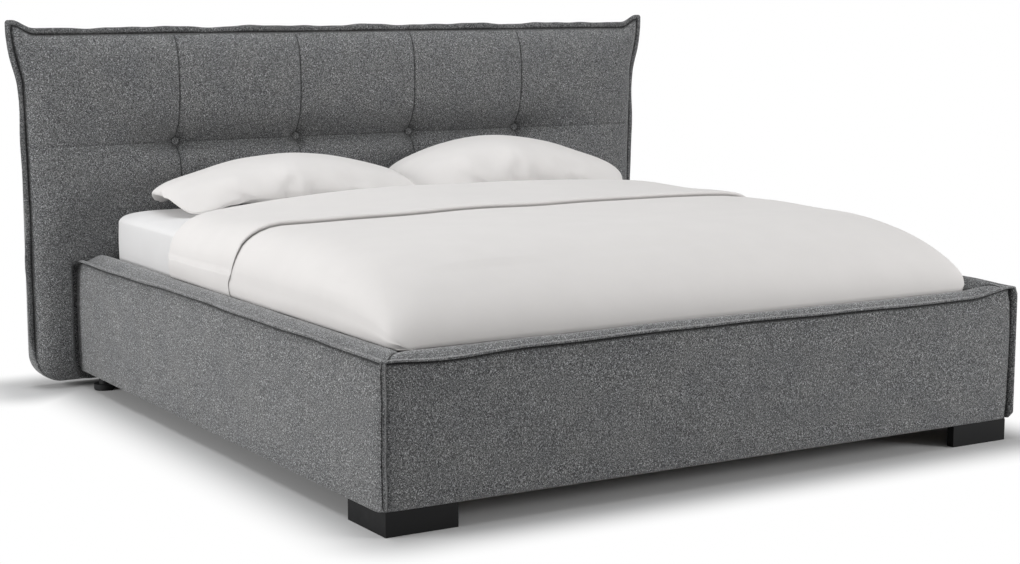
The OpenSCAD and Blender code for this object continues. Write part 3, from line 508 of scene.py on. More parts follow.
def half_width(z):
    """The cushion's half width at a height, with the bottom corners rounded."""
    return HALF - shoulder(z - BOTTOM, CORNER, CORNER)


def ear_out(depth):
    """Share of an ear's sideways reach, this far below the top line."""
    return 1 - 0.78 * smoothstep(depth, 0.015, 0.165) - 0.22 * smoothstep(depth, 0.1, 0.62)


def ear_up(gap):
    """Share of an ear's upward reach, this far in from the side."""
    return 1 - smoothstep(gap, 0.004, 0.064)


def outline_point(x, z):
    """Where a point of the plain rectangle lies: top corners pulled out, lower ones rounded."""
    inner = HALF - 0.3
    ax = np.abs(x)
    narrowed = inner + (ax - inner) * (half_width(z) - inner) / (HALF - inner)
    pull = EAR_X * ear_out(TOP - z) * smoothstep(ax, HALF - 0.2, HALF)
    lift = (EAR_Z + 0.004) * ear_up(HALF - ax) * smoothstep(z, TOP - 0.14, TOP)
    return np.sign(x) * (np.where(ax > inner, narrowed, ax) + pull), z + lift


def roll(gap, reach):
    """The cushion's rise from a sewn edge: steep for the first millimetres, then a slow curve."""
    return 0.88 * (1 - np.exp(-gap / reach)) + 0.12 * (1 - np.exp(-gap / 0.004))


def swell(x, z):
    """How far the cushion stands out from the flange, and how much painted shade a point gets in
    the creases and along the stitching.
    """
    side = np.maximum(half_width(z) * (1 - np.abs(x) / HALF), 0)
    rise = roll(side, 0.038) * roll(TOP - z, 0.042) * roll(z - BOTTOM, 0.03)
    edges = [-HALF, *SEAMS, HALF]
    puff = np.zeros_like(x)
    for a, b in zip(edges, edges[1:]):
        q = np.clip((x - a) / (b - a), 0, 1)
        puff = np.maximum(puff, (4 * q * (1 - q)) ** 0.8)
    dz = z - BUTTON_Z
    bulge = (np.sin(np.pi * np.clip(dz / (TOP - BUTTON_Z), 0, 1))
             + 0.35 * np.sin(np.pi * np.clip(-dz / (BUTTON_Z - SPLIT), 0, 1)))
    front = rise * (CROWN + 0.0045 * puff * bulge)
    # the row of buttons pulls a valley in, long above it and short below
    middle = 1 - 0.86 * smoothstep(np.abs(x), OUTER_SEAM + 0.02, OUTER_SEAM + 0.33)
    valley = np.exp(-(np.abs(dz) / np.where(dz > 0, 0.066, 0.036)) ** 1.5)
    cut = 0.037 * middle * valley + 0.003 * bell(dz, 0.0035)
    # painted shade: darker in the valley along the row of buttons and on its stitched line
    seam = np.maximum(bell(dz, 0.0028) * (0.18 + 0.52 * middle), 0.42 * middle * valley ** 0.7)
    split = z - SPLIT
    cut += 0.0012 * bell(split, 0.012)
    # painted shade on the stitched line where the lower field begins
    seam = np.maximum(seam, 0.2 * bell(split, 0.003))
    run = smoothstep(z, SPLIT - 0.01, SPLIT + 0.02)
    # painted shade down each vertical stitched line and round each button's dimple
    for s in SEAMS:
        dx = x - s
        cut += run * (0.0022 * np.exp(-np.abs(dx) / 0.016) + 0.0034 * bell(dx, 0.0032))
        seam = np.maximum(seam, 0.85 * run * bell(dx, 0.003))
        r = np.sqrt(dx ** 2 + dz ** 2)
        cut += 0.027 * np.exp(-(r / 0.042) ** 1.2)
        drag = np.cos(5 * np.arctan2(dz, dx) + 3 * s) * np.exp(-r / 0.1)
        cut += 0.0014 * drag * smoothstep(r, 0.012, 0.05)
        seam = np.maximum(seam, 0.85 * np.exp(-np.maximum(r - BUTTON_D / 2, 0) / 0.026))
    low = 1 - smoothstep(z, SPLIT - 0.035, SPLIT - 0.005)
    inside = 1 - smoothstep(np.abs(x), *BEHIND_MATTRESS)
    by_rail = (1 - inside) * (1 - smoothstep(np.abs(x), *BEHIND_RAIL))
    front = front - rise * cut
    front = (front + low * by_rail * (RAIL_PRESS - front)
             + low * inside * (np.minimum(front, MATTRESS_PRESS) - front))
    edge = np.minimum(side, TOP - z)
    # painted shade in the groove where the cushion is sewn into the flange
    sewn = bell(np.maximum(edge - 0.0015, 0), 0.0035)
    return front, np.maximum(seam * np.minimum(rise * 3, 1), sewn)


def headboard_front():
    """The padded front as one sewn skin, closed by a ring and a flat back behind it."""
    near_edge = 0.0013 * np.arange(1, 11) ** 1.4
    step, near, fine = 0.011, 0.016, 0.0018
    fades = [*BEHIND_MATTRESS, *BEHIND_RAIL]
    xs = marks(-HALF, HALF, step, SEAMS, near, fine)
    xs = np.unique([*xs, *(near_edge - HALF), *(HALF - near_edge), *np.negative(fades), *fades[:3]])
    bend = BOTTOM + CORNER * (1 - np.cos(np.linspace(0.05, 1.5, 18)))
    zs = marks(BOTTOM, TOP, step, [BUTTON_Z, SPLIT], near, fine)
    zs = np.unique([*zs, *(TOP - near_edge), *bend])
    x, z = np.meshgrid(xs, zs, indexing="ij")
    front, seam = swell(x, z)
    flat = np.stack([x, z * 0, z], -1)
    pucker = wave(flat, 4.0, 3.1) * 0.0016 + wave(flat, 11.0, 7.7) * 0.0007
    front = np.maximum(front + pucker * np.minimum(front / 0.03, 1), 0)
    px, pz = outline_point(x, z)
    points = np.stack([px, PLANE - front, pz], -1)
    index = border(*x.shape)
    n, m = x.size, len(index)
    back = points.reshape(-1, 3)[index] * (0.994, 0, 1)
    back[:, 1] = cushion_high[1]
    back[:, 2] = np.clip(back[:, 2], BOTTOM + 0.003, TOP - 0.001)
    back[:, 0] = np.clip(back[:, 0], -HALF, HALF)
    middle = (0, cushion_high[1], (TOP + BOTTOM) / 2)
    points = np.concatenate([points.reshape(-1, 3), back, [middle]])
    faces = quads(*x.shape)
    faces += [(index[k], index[(k + 1) % m], n + (k + 1) % m, n + k) for k in range(m)]
    faces += fan(range(n, n + m), n + m)
    # the ring and the flat back get full painted shade
    piece = upholstered("headboard_cushion_cover", (points, faces, np.append(seam, np.ones(m + 1))),
                        "headboard_cushion", "headboard_lower_cushions", "headboard_lower_pad")


headboard_front()


def flange_lines():
    """Inner and outer lines of the headboard's flange, from the lower right over the top."""
    low = BOTTOM + CORNER * 0.62
    tip_r, tip_steps = 0.01, 8
    z = np.array([*np.linspace(low, TOP - 0.2, 60), *np.linspace(TOP - 0.195, TOP - 0.002, 40)])
    x_in, z_in = outline_point(np.full_like(z, HALF), z)
    grow = STRIP * smoothstep(z, low, low + 0.1)
    stray = 0.0022 * np.sin(z * 19) + 0.0014 * np.sin(z * 31 + 1)
    stray = stray * smoothstep(z, 0.2, 0.4) * smoothstep(-z, -TOP, -0.95)
    side_in, side_out = np.stack([x_in, z_in], -1), np.stack([x_in + grow + stray, z], -1)
    ear = np.linspace(HALF - 0.002, HALF - 0.2, 40)
    x = np.concatenate([ear, np.linspace(HALF - 0.205, -HALF + 0.205, 170), -ear[::-1]])
    x_at, z_top = outline_point(x, np.full_like(x, TOP))
    stray = 0.0022 * np.sin(x * 16 + 0.6) + 0.0016 * np.sin(x * 27.3) + 0.0008 * np.sin(x * 61)
    gap = HALF - np.abs(x)
    z_out = TOP + STRIP_TOP + stray * smoothstep(gap, 0.08, 0.2) + EAR_Z * ear_up(gap)
    top_in, top_out = np.stack([x_at, z_top], -1), np.stack([x_at, z_out], -1)
    tip_middle = np.array([HALF + STRIP + EAR_X, TOP + STRIP_TOP + EAR_Z]) - tip_r
    turn = np.linspace(0, np.pi / 2, tip_steps)
    arc = tip_middle + tip_r * np.stack([np.cos(turn), np.sin(turn)], -1)
    corner_in = np.repeat(side_in[-1:], tip_steps, 0)
    # the side strip runs on up to the tip
    side_out[:, 1] = z + (arc[0, 1] - 0.002 - z[-1]) * smoothstep(z, TOP - 0.09, TOP)
    turn_out = np.concatenate([side_out, arc])
    turn_in = np.concatenate([side_in, corner_in])
    keep = np.abs(top_out[:, 0]) < tip_middle[0]
    mirror = np.array([-1, 1])
    inner = np.concatenate([turn_in, top_in[keep], (turn_in * mirror)[::-1]])
    outer = np.concatenate([turn_out, top_out[keep], (turn_out * mirror)[::-1]])
    return inner, outer


def headboard_flange():
    """A folded strip: pinched where it is sewn in, fuller toward its outer fold."""
    inner, outer = flange_lines()
    out = outer - inner
    out = out / np.maximum(np.linalg.norm(out, axis=1, keepdims=True), 1e-6)
    along = np.concatenate([[0], np.cumsum(np.linalg.norm(np.diff(outer, axis=0), axis=1))])
    lean = 0.0016 * np.sin(along * 9.0) + 0.001 * np.sin(along * 23.0 + 1.0)
    root = inner - out * 0.01
    shares = [0.0, 0.2, 0.36, 0.45, 0.55, 0.68, 0.8, 0.9, 0.97]
    half = [0.001, 0.0012, 0.0014, 0.0026, 0.004, 0.0047, 0.0046, 0.0036, 0.002]
    # painted shade: full in the pinch where the strip is sewn in, none on its full outer part, a
    # little at its fold
    dark = [1.0, 1.0, 1.0, 0.6, 0.0, 0.0, 0.0, 0.0, 0.15]
    loop = [(a, -h, d) for a, h, d in zip(shares, half, dark)] + [(1.0, 0.0, 0.2)]
    loop += [(a, h, d) for a, h, d in zip(shares, half, dark)][::-1]
    sections = []
    for a, side, _ in loop:
        at = root + (outer - root) * a
        sections.append(np.stack([at[:, 0], PLANE + side + lean * a, at[:, 1]], -1))
    tube = swept(np.stack(sections, 1), [d for _, _, d in loop], (0.5, 0.5))
    upholstered("headboard_flange", tube, "headboard_seam_flange", material=shaded_flange_tweed)


headboard_flange()


def rounded_ring(inset):
    """The headboard's outline, inset, as a closed loop of (x, z) points."""
    half, top, bottom = HALF - inset, TOP - inset, BOTTOM + inset
    r, small = CORNER - inset, 0.014
    turn = np.linspace(0, np.pi / 2, 14)
    right = [(half - r + r * np.sin(t), bottom + r - r * np.cos(t)) for t in turn]
    right += [(half, z) for z in np.linspace(bottom + r, top - small, 40)[1:-1]]
    right += [(half - small + small * np.cos(t), top - small + small * np.sin(t)) for t in turn]
    right += [(x, top) for x in np.linspace(half - small, 0, 46)[1:]]
    left = [(-x, z) for x, z in right[::-1][1:]]
    below = [(x, bottom) for x in np.linspace(-half + r, half - r, 90)[1:-1]]
    return np.array(right + left + below)


def headboard_border():
    """The band of cloth round the headboard's edge, folded over on its back."""
    y0, y1 = PLANE + 0.002, border_high[1]
    # (inset from the outline, y)
    profile = [(0.004, y0), (0.0005, y0 + 0.004), (-0.0012, y0 + 0.018), (-0.0016, (y0 + y1) / 2),
               (-0.0004, y1 - 0.012), (0.002, y1 - 0.004), (0.007, y1), (0.012, y1 + 0.0002),
               (0.012, y1 - 0.003), (0.009, y1 - 0.004), (0.009, y0 + 0.004)]
    points = np.stack([np.insert(rounded_ring(inset), 1, y, axis=1) for inset, y in profile])
    points[..., 1] += np.where(points[..., 1] < y1 - 0.01, 0, wave(points, 9.0, 2.2) * 0.0009)
    ring = points, quads(*points.shape[:2], True, True)
    upholstered("headboard_border_cover", ring, "headboard_border")


headboard_border()


def back_cloth():
    """The dust cloth stapled over the back, sagging a little between its edge and its middle."""
    inner_y, outer_y, sag = cloth_low[1], cloth_high[1] - 0.0002, 0.0008
    shares = [0.0, 0.002, 0.035, 0.09, 0.21, 0.4, 0.63, 0.86, 0.985]  # from the edge to the middle
    loop = rounded_ring(BACK_INSET)
    middle = np.array([0, (TOP + BOTTOM) / 2])
    places = [(share, inner_y) for share in shares[::-1]]
    places += [(share, outer_y - sag * math.sin(math.pi * share)) for share in shares]
    sections = [np.insert(middle + (loop - middle) * (1 - share), 1, y, axis=1)
                for share, y in places]
    piece = make("headboard_back_dust_cloth", swept(sections), dust_cloth,
                 ("headboard_back_cloth",))


back_cloth()


def buttons():
    """Domed buttons, each sitting on the highest place of its dimple's floor."""
    points, faces, seam = [], [], []
    r, dome, turns = BUTTON_D / 2, 0.0052, 28
    # (share of the radius, share of the dome's height that lies below the top)
    profile = [(0.35, 0.04), (0.62, 0.14), (0.82, 0.32), (0.95, 0.58), (1.0, 0.85), (0.98, 1.1),
               (0.9, 1.4)]
    for s in SEAMS:
        y = PLANE - float(swell(np.array([s + r]), np.array([BUTTON_Z + r]))[0][0]) - 0.0005
        start = len(points)
        points.append((s, y, BUTTON_Z))
        # painted shade: a quarter on each button's face, more on its rim and underside, full at its
        # hidden back
        seam.append(0.25)
        for share, drop in profile:
            for k in range(turns):
                a = 2 * math.pi * k / turns
                points.append((s + r * share * math.cos(a), y + dome * drop,
                               BUTTON_Z + r * share * math.sin(a)))
                seam.append(0.75 if drop > 0.8 else 0.25)
        last = len(points)
        points.append((s, y + dome * profile[-1][1], BUTTON_Z))
        seam.append(1.0)
        faces += fan(range(start + 1, start + 1 + turns), start)
        faces += quads(len(profile), turns, False, True, start + 1)
        faces += fan(range(last - turns, last), last)
    upholstered("headboard_covered_buttons", (points, faces, seam), "headboard_buttons")


buttons()

# ---- Rails ----

rail_low, rail_high = box("right_rail_padding")
lip_high = box("right_rail_seam_flange")[1]
RAIL_X = rail_high[0]  # a side rail's outer face at its seams
RAIL_W = rail_high[0] - rail_low[0]
RAIL_Z0, RAIL_Z1 = rail_low[2], rail_high[2]
FACE_Y = rail_low[1]  # the foot rail's outer face at its seams
RAIL_END = PLANE - 0.0095  # the covers are sewn on against the headboard
REACH = lip_high[0] - RAIL_X
HANG = 0.0085  # how far a side cover's lower edge hangs below the boards
CORNER_LIFT = {LEFT: 0.0, RIGHT: 0.02}  # how far the top seams rise toward each foot corner


def side_lift(s, y):
    """How far a side rail's top stitched edge strays from level."""
    lift = 0.0012 * np.sin(7 * y + s) + 0.0007 * np.sin(19 * y)
    lift = lift - 0.009 * smoothstep(y, 1.1, RAIL_END)
    corner = (1 + 0.25 * smoothstep(y, 0, 0.2)) * (1 - smoothstep(y, 0.3, 1.2))
    return lift * smoothstep(y, 0.0, 0.3) + CORNER_LIFT[s] * corner


def foot_lift(x):
    """The same for the foot rail: high in the middle, low near the left, up at the right tip."""
    lift = 0.006 * bell(x + 0.08, 0.5) - 0.0065 * bell(x + 0.84, 0.13) + 0.0008 * np.sin(17 * x)
    return (lift * smoothstep(RAIL_X - np.abs(x), 0.0, 0.1)
            + CORNER_LIFT[RIGHT] * smoothstep(x, RAIL_X - 0.16, RAIL_X - 0.01))


def rail_section():
    """The rail's outline from its top stitching down: (distance in from the face, height, painted
    shade).
    """
    z0, z1, w = RAIL_Z0, RAIL_Z1, RAIL_W
    # the third number is painted shade: darkest under the top lip and at the stitching, a little in
    # the bottom crease
    points = [(0.0065, z1 - 0.006, 1.0), (0.004, z1 - 0.0085, 1.0), (0.0008, z1 - 0.0105, 0.8),
              (-0.0012, z1 - 0.015, 0.1), (-0.0028, z1 - 0.024, 0)]
    for z in np.linspace(z1 - 0.04, z0 + 0.03, 18):
        share = (z - z0) / (z1 - z0)
        points.append((-0.0035 - 0.006 * math.sin(math.pi * share) ** 0.8, z, 0))
    points += [(-0.0045, z0 + 0.015, 0), (-0.003, z0 + 0.007, 0), (-0.001, z0 + 0.0025, 0),
               (0.0012, z0 + 0.0006, 0), (0.003, z0 + 0.0012, 0.6), (0.008, z0 + 0.0012, 0)]
    points += [(d, z0 + 0.001, 0) for d in np.linspace(0.02, w - 0.006, 5)]
    points += [(w - 0.002, z0 + 0.003, 0), (w, z0 + 0.008, 0)]
    points += [(w, z, 0) for z in np.linspace(z0 + 0.03, z1 - 0.04, 7)]
    r = 0.019
    points += [(w - r * (1 - math.cos(a)), z1 - 0.005 + r * (math.sin(a) - 0.45), 0)
               for a in np.linspace(0.0, 1.15, 7)]
    top = points[-1]
    for share in np.linspace(0, 1, 14)[1:-1]:
        d = top[0] + (0.012 - top[0]) * share
        rise = 0.0065 * math.sin(math.pi * min(1.0, share * 1.05)) - 0.009 * share ** 3
        points.append((d, top[1] + rise, 0))
    points += [(0.01, z1 - 0.001, 0.3), (0.008, z1 - 0.004, 1.0)]
    return np.array(points)


SECTION = rail_section()
# how far each of its points follows the top seam up and down
UPPER = (smoothstep(SECTION[:, 1], RAIL_Z1 - 0.1, RAIL_Z1 - 0.01)
         * (1 - smoothstep(SECTION[:, 0], 0.03, 0.08)))


def lengthwise(length):
    """Distances along a rail, closer together near its ends."""
    ends = np.array([0, 0.001, 0.002, 0.0035, 0.0055, 0.008, 0.011, 0.015, 0.02, 0.028, 0.04])
    return np.concatenate([ends, np.linspace(0.058, length - 0.058, 120), length - ends[::-1]])


def drawn_in(d, z, gap):
    """The section beside a stitched corner: pulled in at the face and down on the top band, with
    painted shade along the stitching.
    """
    pull = np.exp(-gap / 0.011)
    on_face = (d < 0.004) & (z < RAIL_Z1 - 0.012)
    on_top = (z > RAIL_Z1 - 0.004) & (d > 0.011)
    # painted shade along the mitred corner: a thin line on the top band, a wider one on the face
    dark = np.where(on_top, bell(gap, 0.0034), 0) + np.where(on_face, 0.7 * np.exp(-gap / 0.005), 0)
    return d + 0.0075 * pull * on_face, z - 0.005 * pull * on_top, dark


def shaped(points, normal_axis, sign, seed):
    """Slow unevenness of the stuffed faces and the top band."""
    ripple = wave(points, 3.2, seed) * 0.0016 + wave(points, 9.0, seed + 5) * 0.0007
    top = points[..., 2] > RAIL_Z1 - 0.008
    if normal_axis == 0:
        outer = np.abs(points[..., 0]) > RAIL_X - 0.001
    else:
        outer = points[..., 1] < FACE_Y + 0.001
    points[..., 2] += np.where(top, ripple, 0)
    points[..., normal_axis] += np.where(outer & ~top, sign * ripple, 0)
    return points


def side_rail_cover(s, name):
    """A side rail's cover: mitred at the foot corner, drawn in where it meets the headboard."""
    end_r = 0.022  # how far from the headboard it starts to draw in, and how far it goes
    along = lengthwise(RAIL_END - FACE_Y)
    sections, seams = [], []
    lower = 1 - smoothstep(SECTION[:, 1], RAIL_Z0 + 0.0008, RAIL_Z0 + 0.05)
    lower = lower * (SECTION[:, 0] < 0.002)
    for step in along:
        d, z, seam = SECTION.T.copy()
        inset = np.maximum(d, 0)
        share = step / along[-1]
        y = (FACE_Y + inset) * (1 - share) + RAIL_END * share
        d, z, dark = drawn_in(d, z, y - FACE_Y - inset)
        z = z + side_lift(s, y) * UPPER - HANG * lower * smoothstep(y, 0.01, 0.06)
        draw = shoulder(RAIL_END - y, end_r, end_r)
        across = np.clip(d / RAIL_W, 0, 1)
        d = d + draw * (1 - across) * 0.7
        z = (z - draw * 0.6 * smoothstep(z, 0.3, RAIL_Z1)
             + draw * 0.4 * smoothstep(-z, -0.15, -RAIL_Z0))
        sections.append(np.stack([s * (RAIL_X - d), y, z], -1))
        seams.append(np.maximum(seam, dark))
    tube = swept(shaped(np.stack(sections), 0, s, 4.0 + s), seams, (0, 1))
    upholstered(name + "_rail_cover", tube, name + "_rail_padding")


def foot_rail_cover():
    """The foot rail's cover, mitred at both corners."""
    sections, seams = [], []
    for step in lengthwise(2 * RAIL_X) - RAIL_X:
        d, z, seam = SECTION.T.copy()
        x = step / RAIL_X * (RAIL_X - np.maximum(d, 0))
        d, z, dark = drawn_in(d, z, RAIL_X - np.maximum(d, 0) - np.abs(x))
        z = z + foot_lift(x) * UPPER
        sections.append(np.stack([x, FACE_Y + d, z], -1))
        seams.append(np.maximum(seam, dark))
    tube = swept(shaped(np.stack(sections), 1, -1, 1.5), seams, (1, 1))
    upholstered("foot_rail_cover", tube, "foot_rail_padding")


side_rail_cover(LEFT, "left")
side_rail_cover(RIGHT, "right")
foot_rail_cover()


def lip(name, side):
    """The folded lip sewn into a rail's top outer edge."""
    z = lip_high[2] - 0.0012
    # (distance out from the rail's face, height, painted shade: darkest under the lip and where it
    # is sewn in)
    d, h, seam = np.array([
        (-0.0105, z - 0.005, 1.0), (-0.009, z - 0.0022, 0.8), (-0.006, z - 0.0006, 0.1),
        (-0.002, z, 0), (0.003, z + 0.0002, 0), (REACH - 0.0026, z - 0.0003, 0),
        (REACH - 0.0008, z - 0.0014, 0), (REACH, z - 0.003, 0), (REACH - 0.0008, z - 0.0048, 0.15),
        (REACH - 0.0026, z - 0.0058, 0.5), (0.003, z - 0.0064, 0.9), (-0.002, z - 0.0074, 1.0),
        (-0.0085, z - 0.008, 1.0)]).T
    out = d > 0
    sections = []
    if side == 0:
        for share in np.linspace(-1, 1, 170):
            x = share * (RAIL_X + d)
            sway = 0.001 * math.sin(9 * share) + 0.0006 * math.sin(31 * share + 1)
            y = FACE_Y - d + sway * out * (1 - abs(share) ** 30)
            sections.append(np.stack([x, y, h + foot_lift(x)], -1))
    else:
        for share in np.concatenate([np.linspace(0, 0.985, 150), np.linspace(0.988, 1, 8)]):
            narrow = 0.35 * float(smoothstep(share, 0.99, 1.0))
            y = (FACE_Y - d) * (1 - share) + (RAIL_END - 0.001) * share
            sway = 0.001 * math.sin(17 * share + side) + 0.0006 * math.sin(43 * share)
            x = RAIL_X + d * (1 - narrow) - sway * out * min(share * 40, 1) - 0.008 * narrow
            sections.append(np.stack([side * x, y, h + side_lift(side, y) - 0.012 * narrow], -1))
    upholstered(name + "_rail_lip", swept(sections, seam), name + "_rail_seam_flange")


lip("left", LEFT)
lip("right", RIGHT)
lip("foot", 0)


def corner_flange(s, name):
    """Two folded edges side by side, sewn together down the corner."""
    top = box(name + "_corner_flange")[1][2]
    z = np.linspace(RAIL_Z0 + 0.004, top + 0.002 + CORNER_LIFT[s], 46)
    # (out from the corner, to its side, painted shade: darkest at the root and in the groove
    # between the two edges)
    lobes = [(-0.01, 0.004, 1.0), (-0.002, 0.0052, 1.0), (0.004, 0.0056, 0.9),
             (0.01, 0.006, 0.2), (0.016, 0.0062, 0), (0.0205, 0.0054, 0), (0.0225, 0.0036, 0),
             (0.0224, 0.0019, 0.1), (0.0208, 0.0008, 0.6)]
    lobes = np.array([(a, -b, c) for a, b, c in lobes] + [(0.019, 0.0, 0.8)] + lobes[::-1])
    root = np.array([s * (RAIL_X - 0.002), FACE_Y + 0.002])
    out, across = np.array([s, -1]) / math.sqrt(2), np.array([1, s]) / math.sqrt(2)
    sections = []
    for height in z:
        end = float(1 - smoothstep(height, z[0], z[0] + 0.016)) * 0.6
        neck = float(smoothstep(height, z[-1] - 0.02, z[-1])) * 0.25
        sway = 0.0008 * math.sin(height * 24) + 0.0005 * math.sin(height * 61)
        plan = (root + np.outer(lobes[:, 0] * (1 - end - neck), out)
                + np.outer(lobes[:, 1] * (1 - 0.5 * end) + sway, across))
        sections.append(np.column_stack([plan, np.full(len(lobes), height)]))
    upholstered(name + "_corner_seam", swept(sections, lobes[:, 2]), name + "_corner_flange")


corner_flange(LEFT, "left")
corner_flange(RIGHT, "right")

# ---- Sizes and heights of the mattress and the duvet ----

sheet_low, sheet_high = box("fitted_sheet")
MATTRESS_HALF = sheet_high[0]
MATTRESS_Y0, MATTRESS_Y1 = sheet_low[1], min(sheet_high[1], PLANE - CROWN - 0.01)
MATTRESS_Z0, MATTRESS_Z1 = sheet_low[2], sheet_high[2]

duvet_low, duvet_high = box("duvet")
TURN = 1.085  # the turned-back edge, from the foot end
HEAD = duvet_high[1] - 0.004
DUVET_HALF = duvet_high[0] + 0.001
TUCK = duvet_low[2]
WELL_X, WELL_Y = RAIL_X - RAIL_W - 0.002, FACE_Y + RAIL_W + 0.002  # the rails' inner faces
BRIM = RAIL_Z1 + 0.005  # the duvet lies on the rails' top here
FOOT_LINE = WELL_Y - 0.012  # and reaches this far over the foot rail
DUVET_Z, TURNED_Z = 0.643, 0.672  # heights of its main part and of its turned-back part
DUVET_THICK = 0.013  # at least this much over the mattress's sloping foot end
SLOPE_END = 0.8  # the mattress slopes under it up to here
LAY = 0.0015  # between the duvet's lower side and the sheet it lies on
HEAD_R = 0.045  # the roll at its head end
SIDE_POINTS = 14  # of a row, from where it is tucked in to its top edge, at each side


def duvet_half(y):
    """The duvet's half width, with its foot corners rounded."""
    return DUVET_HALF - shoulder(y - FOOT_LINE, 0.042, 0.055)


def duvet_top(x, y, flap):
    """Height of the duvet's upper side; flap is 0 on its main part, 1 where it is turned back."""
    gap = np.maximum(duvet_half(y) - np.abs(x), 0)
    right = smoothstep(x, -0.3, 0.7)
    brim = shoulder(gap, 0.018, 0.03) * right
    left_main, right_main = shoulder(gap, 0.14, 0.165), 0.07 * np.exp(-gap / 0.038)
    left_turned, right_turned = shoulder(gap, 0.105, 0.12), 0.078 * np.exp(-gap / 0.035)
    main = DUVET_Z - left_main - right * (right_main - left_main) - 0.016 * np.exp(-gap / 0.4)
    turned = (TURNED_Z - left_turned - right * (right_turned - left_turned)
              - (0.072 - 0.02 * right) * np.exp(-gap / 0.28))
    toward = flap * smoothstep(y, TURN + 0.02, HEAD - 0.05)
    fold = 0.0105 * flap * (1 - toward) - 0.004 * (1 - flap) * smoothstep(y, TURN - 0.1, TURN)
    height = main + fold
    height = height + toward * (turned - height) - brim
    # at the foot it comes down to the rail in one curve, a little longer at the sides
    reach, power = 0.46 + 0.04 * smoothstep(np.abs(x), 0.6, 0.88), 2.1
    t = np.clip((FOOT_LINE + reach - y) / reach, 0, 1)
    return BRIM + (height - BRIM) * np.maximum(1 - t ** power, 0) ** (1 / power)


def edge_drop(gap):
    """How far the mattress's top lies below its middle, this far in from its edge."""
    gap = np.maximum(gap, 0)
    return 0.034 * np.exp(-gap / 0.05) + 0.01 * np.exp(-gap / 0.25) + shoulder(gap, 0.009, 0.014)


def mattress_top(x, y):
    """Height of the mattress's top: softened edges, and a foot end that slopes under the duvet."""
    gap = np.minimum(MATTRESS_HALF - np.abs(x), np.minimum(y - MATTRESS_Y0, MATTRESS_Y1 - y))
    plain = MATTRESS_Z1 - edge_drop(gap)
    sloped = np.minimum(plain, duvet_top(x, y, 0) - DUVET_THICK)
    return np.where(y < SLOPE_END, sloped, plain)


# ---- Mattress ----


def slab(inset):
    """The mattress's outside as loops of points, from under it up its sides to its top's middle."""
    half, y0, y1 = MATTRESS_HALF - inset, MATTRESS_Y0 + inset, MATTRESS_Y1 - inset
    z0, z1 = MATTRESS_Z0 + inset, MATTRESS_Z1 - inset

    def loop(shrink, z):
        r, head = max(0.085 - shrink, 0.008), max(0.034 - shrink, 0.006)
        x, a, b = half - shrink, y0 + shrink, y1 - shrink
        turn = np.linspace(0, np.pi / 2, 10)
        right = [(0, a)] + [(v, a) for v in np.linspace(0, x - r, 21)[1:]]
        right += [(x - r + r * np.sin(t), a + r - r * np.cos(t)) for t in turn[1:]]
        for low_y, high_y in ((a + r, 0.6), (0.6, b - head)):  # closer together under the foot
            right += [(x, v) for v in np.linspace(low_y, high_y, 24)[1:]]
        right += [(x - head + head * np.cos(t), b - head + head * np.sin(t)) for t in turn[1:]]
        right += [(v, b) for v in np.linspace(x - head, 0, 21)[1:]]
        plan = np.array(right + [(-p, q) for p, q in right[-2:0:-1]])
        heights = np.full(len(plan), z)
        if z > RAIL_Z1:
            heights = np.minimum(z, mattress_top(*plan.T) - inset)
        return np.column_stack([plan, heights])

    low = 0.014
    loops = [loop(s, z0) for s in (0.7, 0.45, 0.25, 0.12, low)]
    for a in np.linspace(0.3, np.pi / 2, 5):
        loops.append(loop(low * (1 - math.sin(a)), z0 + low * (1 - math.cos(a))))
    rim = z1 - float(edge_drop(0.0))
    for t in np.linspace(0, 1, 11)[1:-1]:
        loops.append(loop(-0.002 * math.sin(math.pi * t), z0 + low + (rim - z0 - low) * t))
    for shrink in (0, 0.0008, 0.002, 0.004, 0.007, 0.011, 0.017, 0.025, 0.036, 0.05, 0.07, 0.1,
                   0.14, 0.2, 0.3, 0.45, 0.6, 0.75):
        loops.append(loop(shrink, z1 - float(edge_drop(shrink))))
    return np.stack(loops)


def mattress():
    """The foam core, and the fitted sheet over it, open below and gathered along its lower edge."""
    core = make("mattress_core", swept(slab(0.0015)), foam_cover,
                ("mattress",), "mattress")

    outer, inner = slab(0.0)[3:], slab(0.0011)[3:]
    k = np.arange(outer.shape[1])
    gather = 0.0014 * np.sin(k * 1.9) + 0.001 * np.sin(k * 4.1)
    outer[:2, :, 2] += gather * np.array([[1.0], [0.5]])
    piece = make("fitted_sheet_cover", swept(np.concatenate([outer[::-1], inner])), white_cotton,
                 ("fitted_sheet",), "mattress")


mattress()

# ---- Duvet ----


